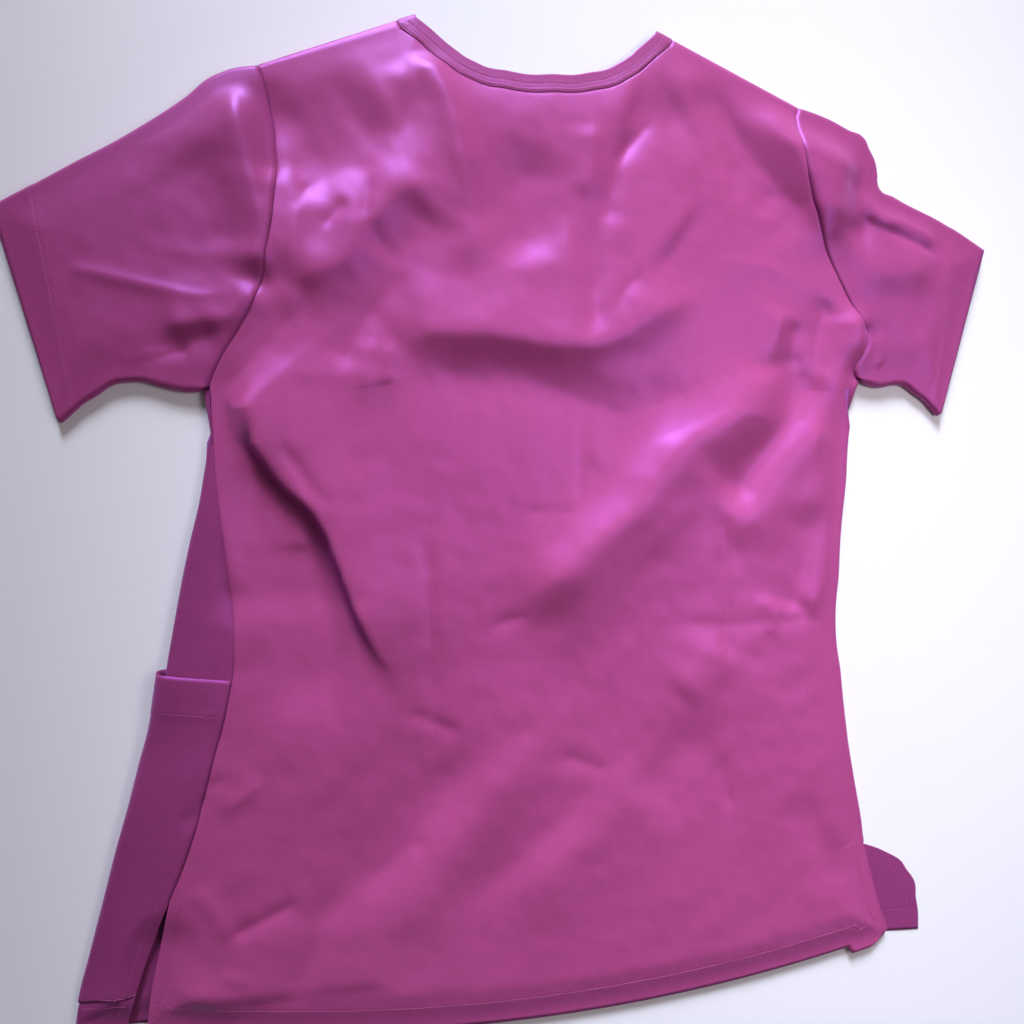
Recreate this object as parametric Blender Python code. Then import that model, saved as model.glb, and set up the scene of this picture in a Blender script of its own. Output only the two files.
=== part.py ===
"""A short-sleeved scrub top, laid out flat on its front so that its back is uppermost.

Each cut piece is one closed wall of cloth. It starts as a sheet of faces through the middle of the
cloth and gets its thickness from a Solidify modifier. Sheets are laid out on a flat plan, X across
the top and Y from the hem up to the neck. What lies beyond a fold line is rolled round it:
the back goes under at the right side and the shoulders, and the front comes over at the left side.
Tables and sizes are in millimetres, and the finished meshes are in metres with +Z up.
"""

import math

import bpy
import numpy as np

MM = 0.001

# Driving dimensions, in millimetres
WALL = 1.4  # one layer of poplin with its turned allowances
BAND_WALL = 1.9  # the neckband is folded double
SEAM_GAP = 0.3  # between the edges of two pieces that are sewn together
BAND_GAP = 0.5  # the same along the neckbands, which are thicker than what they meet
ARMHOLE_GAP = 0.45  # and along the armholes, where two curved edges meet
POCKET_STEP = 2.0  # from the middle of the front to the middle of the pocket on it
LOWEST = WALL / 2  # the middle of cloth that lies on the table
CENTRE_X, CENTRE_Y = 0.0, 327.4  # the place on the plan that stands over the origin
HEM_LOW, HEM_CENTRE, HEM_CURVE = -14.0, -10.0, 0.00041  # the hem is a shallow parabola
CORNER_RUN, CORNER_RISE = 12.0, 5.0  # rounding of the back's right hem corner
BAND_WIDTH = 12.0
SHOULDER_UNDERLAP = 5.0  # the shoulder seams lie this far in, underneath
UNDERARM_LEFT, UNDERARM_RIGHT = 420.5, 430.5  # where side seam and armhole meet
VENT_LEFT, VENT_RIGHT = 98.0, 85.0  # tops of the side vents
POCKET_TOP, POCKET_TOP_AT_SEAM, POCKET_FOOT = 243.0, 235.0, 35.0
POCKET_INNER_EDGE = -150.0
GAPE, GAPE_DEPTH = 5.0, 55.0  # the pocket's mouth stands open where it turns round the fold
GAPE_START, GAPE_END = 0.8, 4.5  # that begins and ends so many half turns past the roll's start
POCKET_CLEAR, POCKET_RAMP = 24.0, 24.0  # the front stays clear of the pocket, then comes down to the table
FOOT_CLEAR, FOOT_RAMP = 3.0, 12.0  # the same below the pocket's foot, which is close to the front's hem
FRONT_V_DEPTH = 160.0  # from the neck points down to the point of the front's V
EDGE_HEIGHT_NECK, EDGE_HEIGHT_SLEEVE, EDGE_HEIGHT_CUFF, EDGE_HEIGHT_HEM = 6.0, 7.5, 5.5, 3.8
RIM_WIDTH = 30.0  # the rolled edges run out into the cloth over this distance
BACK_OVER_FRONT = 2.3  # least height of the back's middle over the front's
BILLOW = 6.0  # how much further the slack cloth stands off inside the edges
VENT_EDGE_HEIGHT = 6.0  # of the back's edge some way up the left vent
LEAST_UNDER = 1.0  # a side seam is at least this far past its roll
FOLD_STEP = 4.0  # fold lines are read at points this far apart
FOLD_REACH = 3.0  # and count for this many times their half width
CREST_ROUND = 0.03  # share that rounds off a crest

# Mesh density
ROWS_VENT, ROWS_SIDE, ROWS_ARMHOLE = 8, 22, 13
FAN_ROWS = 5  # short rows that lead the armhole round the rolled side at the underarm
FAN_STEP = 2.5
FAN_REACH = 34.0
STRIP_IN = 16.0  # the strip of narrow columns starts this far inside a side fold
STRIP_SHARES = (0.0, 0.25, 0.5, 0.6, 0.7, 0.8, 0.87, 0.94, 1.0)
ARC = (0.25, 0.5, 0.75, 1.0)  # stations round a roll, as shares of the half circle
FLAT_STRIP = 24.0  # width of the strip where the side isn't rolled
SHOULDER_STRIP = 0.24  # the strip's share of a shoulder
STRIP_SPREAD = 1.0  # the strip gets wider by this much a row up the armhole
PIN_SAMPLES = 40
BACK_COLUMNS = {"left shoulder": 8, "neck": 18, "right shoulder": 6}
FRONT_COLUMNS = {"right shoulder": 3, "each side of the neck": 4, "left shoulder": 2}
SLEEVE_STATIONS = (0.0, 0.06, 0.13, 0.22, 0.33, 0.45, 0.58, 0.72, 0.86, 1.0)
SLOPE_SPAN = 0.02  # a sleeve edge's direction is read over this share of it, both ways
POCKET_COLUMNS = {"under": 4, "fold": 8, "top": 2}


def table(columns, *rows):
    """Rows of numbers as one array for each named column."""
    return {name: np.array([row[i] for row in rows], float) for i, name in enumerate(columns.split())}


def rows(columns, *values):
    """Rows of values, each as one mapping from the named columns."""
    return [dict(zip(columns.split(), row)) for row in values]


# The body's sides. folded is where the cloth turns over, seen from above; seam is how far in from there
# the side seam lies: on top at the left, underneath at the right; rim is the height of the fold's top.
# turn is how much of the half circle the right roll has: it opens out towards the top of the vent.
LEFT_SIDE = table(
    "height folded seam rim",
    (5, -308, 33, 3.8),
    (30, -304, 33, 5.2),
    (65, -295, 36, 6.4),
    (98, -286, 40, 7.4),
    (128, -278, 44, 8.2),
    (162, -268, 44, 9.2),
    (188, -261, 44, 9.5),
    (223, -250, 42, 9.5),
    (256, -243, 39, 9.2),
    (293, -236, 30, 8.8),
    (325, -229, 20, 8.2),
    (363, -220.5, 8, 7.4),
    (388, -217.5, 4, 6.8),
    (421, -218.5, 3.7, 6.0),
)
RIGHT_SIDE = table(
    "height folded seam rim turn",
    (85, 242, 2, 3.6, 0),
    (104, 239, 4, 4.4, 0.4),
    (124, 235, 6, 5.2, 1),
    (145, 231, 8, 5.8, 1),
    (182, 225, 14, 6.8, 1),
    (217, 221, 20, 7.0, 1),
    (253, 217, 25, 7.0, 1),
    (288, 219.5, 22, 7.0, 1),
    (323, 221.5, 15, 7.0, 1),
    (358, 225.5, 8, 6.6, 1),
    (392, 228, 4.5, 6.2, 1),
    (431, 236, 3.7, 6.0, 1),
)
# The vents' free edges, from the hem up
BACK_VENT_LEFT = table("height x", (12, -264), (26, -262), (65, -254), (98, -246))
FRONT_VENT_LEFT = table("height x", (14, -276), (31, -271), (47, -266), (69, -258), (98, -246))
BACK_VENT_RIGHT = table("height x", (14, 255), (18, 259), (24, 258.5), (35, 254.5), (54, 249), (85, 240.7))
FRONT_VENT_RIGHT = table(
    "share x y",
    (0, 289, 14),
    (0.35, 287, 38),
    (0.65, 279, 61),
    (0.85, 262, 76),
    (1, 238.5, 86),
)
FRONT_HEM = table(
    "x y",
    (-345, 14),
    (-300, 14),
    (-262, 14),
    (-200, 8),
    (-100, -4),
    (0, -7),
    (100, -3),
    (200, 9),
    (240, 14.5),
    (289, 14),
)

# The armholes, from the underarm up to the shoulder
LEFT_ARMHOLE = table(
    "x y",
    (-209, 436),
    (-195, 458),
    (-184, 480),
    (-177, 508),
    (-172, 540),
    (-171, 571),
    (-174, 598),
)
RIGHT_ARMHOLE = table(
    "x y",
    (238, 438),
    (234.5, 447),
    (239.5, 459),
    (233, 473),
    (226, 485),
    (213, 509),
    (204, 526),
    (197, 543),
    (190, 564),
    (186, 583),
    (184, 600),
)

# Shoulder folds: the neck point and the tip of each
LEFT_SHOULDER = {"neck": (-82.0, 664.0), "tip": (-181.0, 624.0)}
RIGHT_SHOULDER = {"neck": (83.0, 667.0), "tip": (187.0, 622.0)}
NECKLINE = table(
    "x y",
    (-82, 664),
    (-73, 656),
    (-56, 643),
    (-43, 636),
    (-22, 632),
    (10, 632),
    (35, 635),
    (56, 643),
    (71, 655),
    (83, 667),
)

# The sleeves' folded edges, from the body out to the cuff
LEFT_SLEEVE_TOP = table("x y", (-181, 624), (-203, 618), (-225, 601), (-247, 585), (-292, 557), (-338, 529))
LEFT_SLEEVE_FOOT = table("x y", (-221, 419), (-230, 419), (-244, 422), (-262, 425), (-283, 416), (-303, 400))
RIGHT_SLEEVE_TOP = table(
    "x y",
    (187, 622),
    (207, 617),
    (228, 608.5),
    (238.5, 604.5),
    (243, 597),
    (250, 579),
    (251, 570),
    (263, 563.5),
    (300, 548),
    (338, 528),
)
RIGHT_SLEEVE_FOOT = table("x y", (239, 428.5), (247, 426), (255, 425.5), (263, 427), (283, 420), (301, 405))

# The largest folds in the upper cloth. height is negative for a trough; left and right are the half widths
# of its flanks, seen along its line; crisp is lower for a sharper crest; fade_in and fade_out are the shares
# of its length over which its ends run out.
FOLD_COLUMNS = "height left right crisp fade_in fade_out line"
FOLDS = rows(
    FOLD_COLUMNS,
    # long diagonal ridge over the right shoulder blade
    (12, 19, 34, 1.5, 0.1, 0.15,
     ((-26, 262), (-2, 285), (18, 303), (38, 321), (58, 335), (80, 363), (100, 384), (125, 397),
      (150, 414), (178, 440))),
    # valley beyond it
    (-8, 28, 13, 1.5, 0.2, 0.15,
     ((126, 336), (141, 351), (160, 375), (176, 396), (191, 420), (206, 437))),
    # and its lesser neighbour
    (5, 16, 22, 1.5, 0.2, 0.2,
     ((126, 318), (146, 333), (160, 350), (180, 375), (195, 388), (208, 410))),
    # wedge at the right of the waist
    (4, 12, 10, 1.5, 0.1, 0.3, ((185, 258), (204, 280), (209, 310), (209, 345), (207, 380))),
    # ridge beside the right armhole
    (6, 15, 9, 1.5, 0.3, 0.2, ((222, 395), (227, 420), (230, 450), (229, 486))),
    (-4, 13, 9, 1.5, 0.3, 0.2, ((201, 424), (202, 440), (205, 465), (213, 488))),
    # ridge from the right shoulder down on to the armhole
    (8, 15, 30, 1.5, 0.35, 0.2,
     ((218, 510), (211, 526), (203, 544), (194, 563), (185, 581), (176, 598), (168, 615), (157, 634))),
    # and the valley at its foot
    (-5, 26, 13, 1.5, 0.2, 0.2,
     ((202, 528), (186, 548), (167, 567), (150, 586), (138, 602), (124, 625), (112, 645))),
    # hollow under the right end of the neckband
    (-4, 26, 22, 1.6, 0.3, 0.3, ((56, 614), (80, 611), (106, 618))),
    # ridge across under the shoulder blades
    (8, 30, 16, 1.5, 0.15, 0.2,
     ((-100, 446), (-80, 456), (-55, 458), (-20, 456), (20, 452), (45, 456), (64, 466), (88, 479),
      (116, 487))),
    # and the valley below it
    (-4, 18, 24, 1.6, 0.2, 0.2,
     ((-100, 432), (-50, 430), (0, 424), (30, 412), (58, 404), (86, 414), (112, 440))),
    # ridge down from the left of the neck
    (7, 22, 12, 1.5, 0.35, 0.15,
     ((-50, 535), (-52, 556), (-56, 585), (-62, 605), (-69, 625), (-75, 642))),
    # which turns out to the armhole
    (7, 28, 15, 1.5, 0.15, 0.3,
     ((-166, 486), (-150, 494), (-135, 500), (-125, 509), (-120, 521), (-108, 531), (-98, 542),
      (-82, 552), (-56, 562))),
    # bowl at the left shoulder blade
    (-6, 40, 24, 2, 0.3, 0.3, ((-170, 560), (-130, 580), (-96, 600))),
    # hollow down the middle
    (-5, 22, 24, 2, 0.3, 0.3, ((-4, 500), (-10, 540), (-6, 590))),
    # crown of the left sleeve
    (7, 26, 9, 1.5, 0.15, 0.15,
     ((-182, 486), (-180, 505), (-180, 525), (-184, 543), (-187, 560), (-191, 580), (-196, 600),
      (-199, 616))),
    (-4, 30, 18, 1.6, 0.3, 0.3, ((-196, 492), (-203, 515), (-206, 535), (-218, 556), (-232, 576))),
    # ridge across the left sleeve
    (6, 14, 9, 1.5, 0.15, 0.15, ((-244, 459), (-215, 463), (-200, 466), (-191, 474), (-181, 488))),
    # crown of the right sleeve
    (5, 26, 20, 1.7, 0.35, 0.35,
     ((214, 522), (210, 545), (209, 565), (212, 580), (218, 594), (226, 606))),
    # and the hollow beyond it
    (-5, 20, 9, 1.5, 0.35, 0.35, ((231, 515), (238, 540), (238, 562), (236, 590))),
    (4, 18, 14, 1.7, 0.3, 0.3, ((228, 500), (262, 508), (296, 506))),
    # the slack at the left, which falls over on itself
    (11, 46, 9, 1.5, 0.08, 0.35,
     ((-208, 420), (-197, 409), (-186, 395), (-175, 379), (-164, 363), (-152, 352), (-141, 337),
      (-132, 315), (-125, 295), (-118, 274), (-106, 244), (-88, 212))),
    # hollow under it
    (-8, 40, 16, 1.7, 0.3, 0.2,
     ((-140, 190), (-148, 240), (-155, 290), (-166, 330), (-182, 365), (-200, 392))),
    # long valley down to the hem
    (-5, 44, 15, 1.5, 0.3, 0.3,
     ((-150, 58), (-139, 83), (-115, 102), (-92, 128), (-66, 160), (-45, 197))),
)
# The fisheye darts of the back, along the line that each is stitched on
DARTS = rows(
    FOLD_COLUMNS,
    (-1.6, 5, 5, 2, 0.3, 0.3, ((-79, 350), (-77.5, 300), (-76.5, 258), (-77, 210), (-77, 165))),
    (-1.6, 5, 5, 2, 0.3, 0.3, ((124, 384), (127, 320), (130, 250), (130, 180), (128, 117))),
)

COLOURS = {
    "poplin": (0.42, 0.067, 0.21, 1.0),
    "poplin_band": (0.36, 0.06, 0.172, 1.0),
}


def through(stations, values, at):
    """A smooth curve through the values at the stations, read at some places."""
    at = np.asarray(at, float)
    step = np.diff(stations)
    slope = np.diff(values) / step
    middle = (slope[:-1] * step[1:] + slope[1:] * step[:-1]) / (step[1:] + step[:-1])
    tangent = np.concatenate([slope[:1], middle, slope[-1:]])
    i = np.clip(np.searchsorted(stations, at) - 1, 0, len(step) - 1)
    t = np.clip((at - stations[i]) / step[i], 0, 1)
    start = values[i] + step[i] * t * tangent[i]
    end = values[i + 1] - step[i] * (1 - t) * tangent[i + 1]
    ease = t * t * (3 - 2 * t)
    return start * (1 - ease) + end * ease


def curve(points, shares):
    """Points at the given shares of the length of a smooth curve through the points."""
    points = np.asarray(points, float)
    along = np.concatenate([[0], np.cumsum(np.linalg.norm(np.diff(points, axis=0), axis=1))])
    at = np.asarray(shares, float) * along[-1]
    return np.stack([through(along, points[:, 0], at), through(along, points[:, 1], at)], -1)


def rows_of(named):
    return np.stack([named["x"], named["y"]], -1)


def smoothstep(t):
    t = np.clip(t, 0, 1)
    return t * t * (3 - 2 * t)


def side(named, column, y):
    return through(named["height"], named[column], np.clip(y, named["height"][0], named["height"][-1]))


def roll_radius(rim, low):
    return (rim - low) / 2


def hem(x):
    return HEM_LOW + HEM_CURVE * (x - HEM_CENTRE) ** 2


# ---------------------------------------------------------------- the lower layer and its folds


def pocket_share(x, y):
    """1 over the pocket, running out to 0 round it."""
    aside = (x - POCKET_INNER_EDGE - POCKET_CLEAR) / POCKET_RAMP
    above = (y - POCKET_TOP - POCKET_CLEAR) / POCKET_RAMP
    below = (POCKET_FOOT - y - FOOT_CLEAR) / FOOT_RAMP
    return 1 - smoothstep(np.maximum(np.maximum(aside, above), below))


def floor_height(x, y):
    """The middle of the front's lower layer, which climbs over the pocket."""
    return LOWEST + POCKET_STEP * pocket_share(x, y)


def left_tangent(y):
    """Where the front leaves the table to turn over at the left, with the roll's radius there."""
    folded = side(LEFT_SIDE, "folded", y)
    radius = roll_radius(side(LEFT_SIDE, "rim", y), floor_height(folded, y))
    return folded + radius, radius


def left_seam_in(y):
    """How far in from the left fold the side seam lies, on top."""
    return np.maximum(side(LEFT_SIDE, "seam", y), left_tangent(y)[1] + LEAST_UNDER)


def front_edge_over(y):
    """How far past its roll the front ends on top at the left: in the side seam, or at the vent's edge."""
    tangent, radius = left_tangent(y)
    vent = float(side(FRONT_VENT_LEFT, "x", y)) - float(tangent)
    seam = float(left_seam_in(y)) - float(radius)
    return (vent if y < VENT_LEFT else seam) - SEAM_GAP / 2


def right_tangent(y):
    """Where the back leaves its upper layer to turn under at the right, with the roll's radius there."""
    radius = roll_radius(side(RIGHT_SIDE, "rim", y), LOWEST)
    return side(RIGHT_SIDE, "folded", y) - radius, radius


def shoulder(named):
    """A shoulder's tangent line: its neck end and tip, the direction out over it, and both radii."""
    neck, tip = np.array(named["neck"]), np.array(named["tip"])
    along = (tip - neck) / np.linalg.norm(tip - neck)
    out = np.array([-along[1], along[0]]) * np.sign(along[0])
    radii = roll_radius(EDGE_HEIGHT_NECK, LOWEST), roll_radius(EDGE_HEIGHT_SLEEVE, LOWEST)
    return {
        "neck": neck - out * radii[0],
        "tip": tip - out * radii[1],
        "along": along,
        "out": out,
        "radii": radii,
        "length": np.linalg.norm(tip - neck),
    }


SHOULDERS = {"left": shoulder(LEFT_SHOULDER), "right": shoulder(RIGHT_SHOULDER)}


def shoulder_radius(line, points):
    share = np.clip((points - line["neck"]) @ line["along"] / line["length"], 0, 1)
    return line["radii"][0] + (line["radii"][1] - line["radii"][0]) * share


def beyond_shoulder(line, points):
    """How far the points lie past the shoulder's tangent line."""
    across = line["tip"] - line["neck"]
    out = np.array([-across[1], across[0]]) * np.sign(across[0]) / np.linalg.norm(across)
    return (points - line["neck"]) @ out


# ---------------------------------------------------------------- sleeves on the plan


def sleeve_edges(top, foot, line, side_sign, underarm):
    """A sleeve's two fold lines at its stations: plan points of the tangents, directions out, radii."""
    shares = np.array(SLEEVE_STATIONS)
    rims = EDGE_HEIGHT_SLEEVE + (EDGE_HEIGHT_CUFF - EDGE_HEIGHT_SLEEVE) * shares
    radii = roll_radius(rims, LOWEST)
    edges = {}
    for name, rows, turn in (("top", top, side_sign), ("foot", foot, -side_sign)):
        outline = curve(rows_of(rows), shares)
        ahead = curve(rows_of(rows), np.clip(shares + SLOPE_SPAN, 0, 1))
        behind = curve(rows_of(rows), np.clip(shares - SLOPE_SPAN, 0, 1))
        along = (ahead - behind) / np.linalg.norm(ahead - behind, axis=1)[:, None]
        out = np.stack([-along[:, 1], along[:, 0]], -1) * turn
        edges[name] = {"out": out, "radius": radii, "tangent": outline - out * radii[:, None]}
    edges["top"]["out"][0] = line["out"]
    edges["top"]["tangent"][0] = line["tip"]
    tangent = left_tangent if side_sign < 0 else right_tangent
    edges["foot"]["tangent"][0] = (float(tangent(underarm)[0]), underarm)
    edges["foot"]["out"][0] = (side_sign, 0)
    corner = edges["foot"]["tangent"][1] + edges["foot"]["out"][1] * radii[1]
    edges["foot"]["out"][1] = np.array([side_sign, -1]) * math.sqrt(0.5)
    edges["foot"]["tangent"][1] = corner - edges["foot"]["out"][1] * radii[1]
    return edges


SLEEVES = {
    "left": sleeve_edges(LEFT_SLEEVE_TOP, LEFT_SLEEVE_FOOT, SHOULDERS["left"], -1, UNDERARM_LEFT),
    "right": sleeve_edges(RIGHT_SLEEVE_TOP, RIGHT_SLEEVE_FOOT, SHOULDERS["right"], 1, UNDERARM_RIGHT),
}


def armhole(which):
    """The armhole's rows on the plan, from the underarm to the shoulder's tangent.
    The last but one is where the shoulder seam lies underneath."""
    line = SHOULDERS[which]
    rows = rows_of(LEFT_ARMHOLE if which == "left" else RIGHT_ARMHOLE)
    start = SLEEVES[which]["foot"]["tangent"][0]
    seam = line["tip"] - line["out"] * (SHOULDER_UNDERLAP + SEAM_GAP)
    points = curve(np.concatenate([[start], rows, [seam]]), np.linspace(0, 1, ROWS_ARMHOLE + 1))
    return np.concatenate([points, [line["tip"]]])


# ---------------------------------------------------------------- height of the upper layer


def pinned_edges():
    """Fold lines and free edges as runs of (x, y, height): the cloth's upper layer comes down to them."""
    runs = []
    hem_left = BACK_VENT_LEFT["height"][0]
    for which, tangent, named, low, high in (
        ("left", left_tangent, LEFT_SIDE, hem_left, UNDERARM_LEFT),
        ("right", right_tangent, RIGHT_SIDE, VENT_RIGHT, UNDERARM_RIGHT),
    ):
        y = np.linspace(low, high, PIN_SAMPLES)
        runs.append(np.stack([tangent(y)[0], y, side(named, "rim", y)], -1))
        edges = SLEEVES[which]
        heights = 2 * edges["top"]["radius"] + LOWEST
        for name in ("top", "foot"):
            runs.append(np.column_stack([edges[name]["tangent"], heights]))
        cuff = np.stack([edges["top"]["tangent"][-1], edges["foot"]["tangent"][-1]])
        runs.append(np.column_stack([cuff, [EDGE_HEIGHT_CUFF] * 2]))
        line = SHOULDERS[which]
        ends = np.stack([line["neck"], line["tip"]])
        runs.append(np.column_stack([ends, [EDGE_HEIGHT_NECK, EDGE_HEIGHT_SLEEVE]]))
    neck = curve(rows_of(NECKLINE), np.linspace(0, 1, PIN_SAMPLES))
    runs.append(np.column_stack([neck, [EDGE_HEIGHT_NECK] * PIN_SAMPLES]))
    x = np.linspace(left_tangent(hem_left)[0], BACK_VENT_RIGHT["x"][0], PIN_SAMPLES)
    runs.append(np.column_stack([x, hem(x), [EDGE_HEIGHT_HEM] * PIN_SAMPLES]))
    below_top = {name: values[:-1] for name, values in BACK_VENT_LEFT.items()}
    for vent, top in ((BACK_VENT_RIGHT, RIGHT_SIDE["rim"][0]), (below_top, VENT_EDGE_HEIGHT)):
        rims = np.linspace(EDGE_HEIGHT_HEM, top, len(vent["x"]))
        runs.append(np.column_stack([vent["x"], vent["height"], rims]))
    return runs


PINNED = pinned_edges()


def nearest_edge(x, y):
    """The distance from each place to the nearest pinned edge, and the height there."""
    best = np.full(x.shape, np.inf)
    height = np.zeros(x.shape)
    for run in PINNED:
        for start, end in zip(run[:-1], run[1:]):
            step = end[:2] - start[:2]
            t = ((x - start[0]) * step[0] + (y - start[1]) * step[1]) / max(step @ step, 1e-9)
            t = np.clip(t, 0, 1)
            distance = np.hypot(x - start[0] - t * step[0], y - start[1] - t * step[1])
            nearer = distance < best
            best = np.where(nearer, distance, best)
            height = np.where(nearer, start[2] + t * (end[2] - start[2]), height)
    return best, height


def beside_line(line, x, y):
    """The share of a line's length that is nearest to each place, and how far the place is to its left."""
    corners = np.array(line, float)
    length = np.sum(np.linalg.norm(np.diff(corners, axis=0), axis=1))
    points = curve(corners, np.linspace(0, 1, max(int(length / FOLD_STEP), 3) + 1))
    step = np.diff(points, axis=0)
    size = np.linalg.norm(step, axis=1)
    along = np.concatenate([[0], np.cumsum(size)]) / np.sum(size)
    best = np.full(x.shape, np.inf)
    share, off = np.zeros(x.shape), np.zeros(x.shape)
    for k, (start, way) in enumerate(zip(points, step / size[:, None])):
        dx, dy = x - start[0], y - start[1]
        t = np.clip(dx * way[0] + dy * way[1], 0, size[k])
        distance = np.hypot(dx - t * way[0], dy - t * way[1])
        nearer = distance < best
        best = np.where(nearer, distance, best)
        share = np.where(nearer, along[k] + (along[k + 1] - along[k]) * t / size[k], share)
        off = np.where(nearer, distance * np.sign(dy * way[0] - dx * way[1]), off)
    return share, off


def folds_height(folds, x, y):
    """The sum of the folds' heights at some places."""
    total = np.zeros(np.shape(x))
    for fold in folds:
        reach = FOLD_REACH * max(fold["left"], fold["right"])
        low, high = np.min(fold["line"], axis=0) - reach, np.max(fold["line"], axis=0) + reach
        near = (x > low[0]) & (x < high[0]) & (y > low[1]) & (y < high[1])
        if not near.any():
            continue
        t, off = beside_line(fold["line"], x[near], y[near])
        run = smoothstep(t / fold["fade_in"]) * smoothstep((1 - t) / fold["fade_out"])
        out = (off / np.where(off > 0, fold["left"], fold["right"])) ** 2
        form = np.exp(CREST_ROUND ** (fold["crisp"] / 2) - (out + CREST_ROUND) ** (fold["crisp"] / 2))
        total[near] += fold["height"] * run * form
    return total


def top_height(x, y):
    """The middle of the uppermost layer of cloth over a place on the plan."""
    distance, rim = nearest_edge(x, y)
    inside = smoothstep(distance / RIM_WIDTH)
    loft = BILLOW + folds_height(FOLDS, x, y)
    loft = (loft + np.sqrt(loft**2 + 1)) / 2 + folds_height(DARTS, x, y) * inside
    resting = floor_height(x, y) + BACK_OVER_FRONT + np.maximum(loft, 0)
    return rim + (resting - rim) * inside


# ---------------------------------------------------------------- rolling sheets round the folds


def roll(past, radius, tangent, out, high, low):
    """Points at distances past a tangent, rolled round a half circle from height high to low."""
    angle = np.clip(past / radius, 0, math.pi)
    plan = radius * np.sin(angle) - np.maximum(past - math.pi * radius, 0)
    share = (1 - np.cos(angle)) / 2
    return tangent + out * plan[:, None], high + (low - high) * share


def back_surface(points):
    """The back's flat plan laid in place: under at the right side and over both shoulders."""
    x, y = points[:, 0], points[:, 1]
    plan = points.copy()
    z = np.zeros(len(points))
    tangent, radius = right_tangent(y)
    past = np.where((y > VENT_RIGHT) & (y < UNDERARM_RIGHT + SEAM_GAP), x - tangent, -1.0)
    rolled = past > 0
    where = np.stack([tangent, y], -1)
    out = np.tile([1.0, 0.0], (len(points), 1))
    moved, height = roll(past, radius, where, out, LOWEST + 2 * radius, LOWEST)
    plan[rolled], z[rolled] = moved[rolled], height[rolled]
    for name, line in SHOULDERS.items():
        past = beyond_shoulder(line, points)
        over = (past > 0) & ((x < 0) == (name == "left")) & (y > UNDERARM_RIGHT)
        radius = shoulder_radius(line, points)
        where = points - past[:, None] * line["out"]
        out = np.tile(line["out"], (len(points), 1))
        moved, height = roll(past, radius, where, out, LOWEST + 2 * radius, LOWEST)
        plan[over], z[over] = moved[over], height[over]
        rolled = rolled | over
    flat = ~rolled
    z[flat] = top_height(x[flat], y[flat])
    return np.column_stack([plan, z])


def front_surface(points):
    """The front's flat plan laid in place: on the table, and over the top at the left side."""
    x, y = points[:, 0], points[:, 1]
    tangent, radius = left_tangent(y)
    low = floor_height(x, y)
    past = tangent - x
    start = floor_height(tangent, y)
    where = np.stack([tangent, y], -1)
    out = np.tile([-1.0, 0.0], (len(points), 1))
    plan, z = roll(past, radius, where, out, start, start + 2 * radius)
    lying, over = past <= 0, past > math.pi * radius
    plan[lying], z[lying] = points[lying], low[lying]
    z[over] = top_height(plan[over, 0], y[over])
    return np.column_stack([plan, z])


# ---------------------------------------------------------------- grids of plan points


def row_heights(low, vent, underarm):
    """Heights of a side's rows from the hem to the underarm, with the short fan rows at the end."""
    vent_rows = np.linspace(low, vent, ROWS_VENT + 1)
    side_rows = np.linspace(vent, underarm - FAN_REACH, ROWS_SIDE + 1)[1:]
    fan_rows = underarm - FAN_STEP * np.arange(FAN_ROWS, -1, -1)
    return np.concatenate([vent_rows, side_rows, fan_rows])


def strip_row(start, end):
    return start + (end - start) * np.array(STRIP_SHARES)[:, None]


def flat_strip(edge, y, climb):
    """A strip row that lies flat beside the right vent. It follows the hem's curve and rounded corner,
    and less so the further it has climbed up the vent."""
    row = strip_row(np.array([edge - FLAT_STRIP, y]), np.array([edge, y]))
    curl = np.clip(1 - (edge - row[:, 0]) / CORNER_RUN, 0, 1) ** 2
    level = hem(row[:, 0]) + CORNER_RISE * curl
    row[:, 1] += (level - level[-1]) * (1 - climb)
    return row


def turned_side(which, named, tangent_of, vent_edge, vent, underarm):
    """The strip of columns at the side where a panel turns round its fold, row by row up to the shoulder.
    The left fold goes on down to the hem, and the right one ends at its vent."""
    sign = -1 if which == "left" else 1
    low = vent_edge["height"][0]
    strips = []
    heights = row_heights(low, vent, underarm)
    fan_start = len(heights) - FAN_ROWS - 1
    for i, y in enumerate(heights):
        tangent, radius = (float(v) for v in tangent_of(y))
        half = math.pi * radius
        under = max(float(side(named, "seam", y)) - radius, LEAST_UNDER) - SEAM_GAP / 2
        edge = float(side(vent_edge, "x", y))
        if i <= ROWS_VENT and which == "right":
            strips.append(flat_strip(edge, y, (y - low) / (vent - low)))
            continue
        if i < ROWS_VENT:
            under = edge - tangent - SEAM_GAP / 2
        if i < fan_start:
            if which == "right":
                turn = min(float(side(named, "turn", y)), 1.0)
                half *= turn
                under *= turn
            past = [-STRIP_IN, -STRIP_IN / 2, 0] + [half * a for a in ARC] + [half + under / 2, half + under]
            strips.append(np.column_stack([tangent + sign * np.array(past), np.full(len(past), y)]))
            continue
        ends = [half + under] + [half * a for a in ARC[::-1]] + [0.0]
        inner = np.array([tangent - sign * STRIP_IN, y])
        strips.append(strip_row(inner, np.array([tangent + sign * ends[i - fan_start], underarm])))
    for i, point in enumerate(armhole(which)[1:]):
        width = STRIP_IN + STRIP_SPREAD * i
        strips.append(strip_row(point - np.array([sign * width, 0.0]), point))
    return strips


def plain_side(edge_points, which):
    """The column at the side where a panel lies flat, from the hem up to the shoulder."""
    return np.concatenate([edge_points, armhole(which)[1:]])


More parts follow.
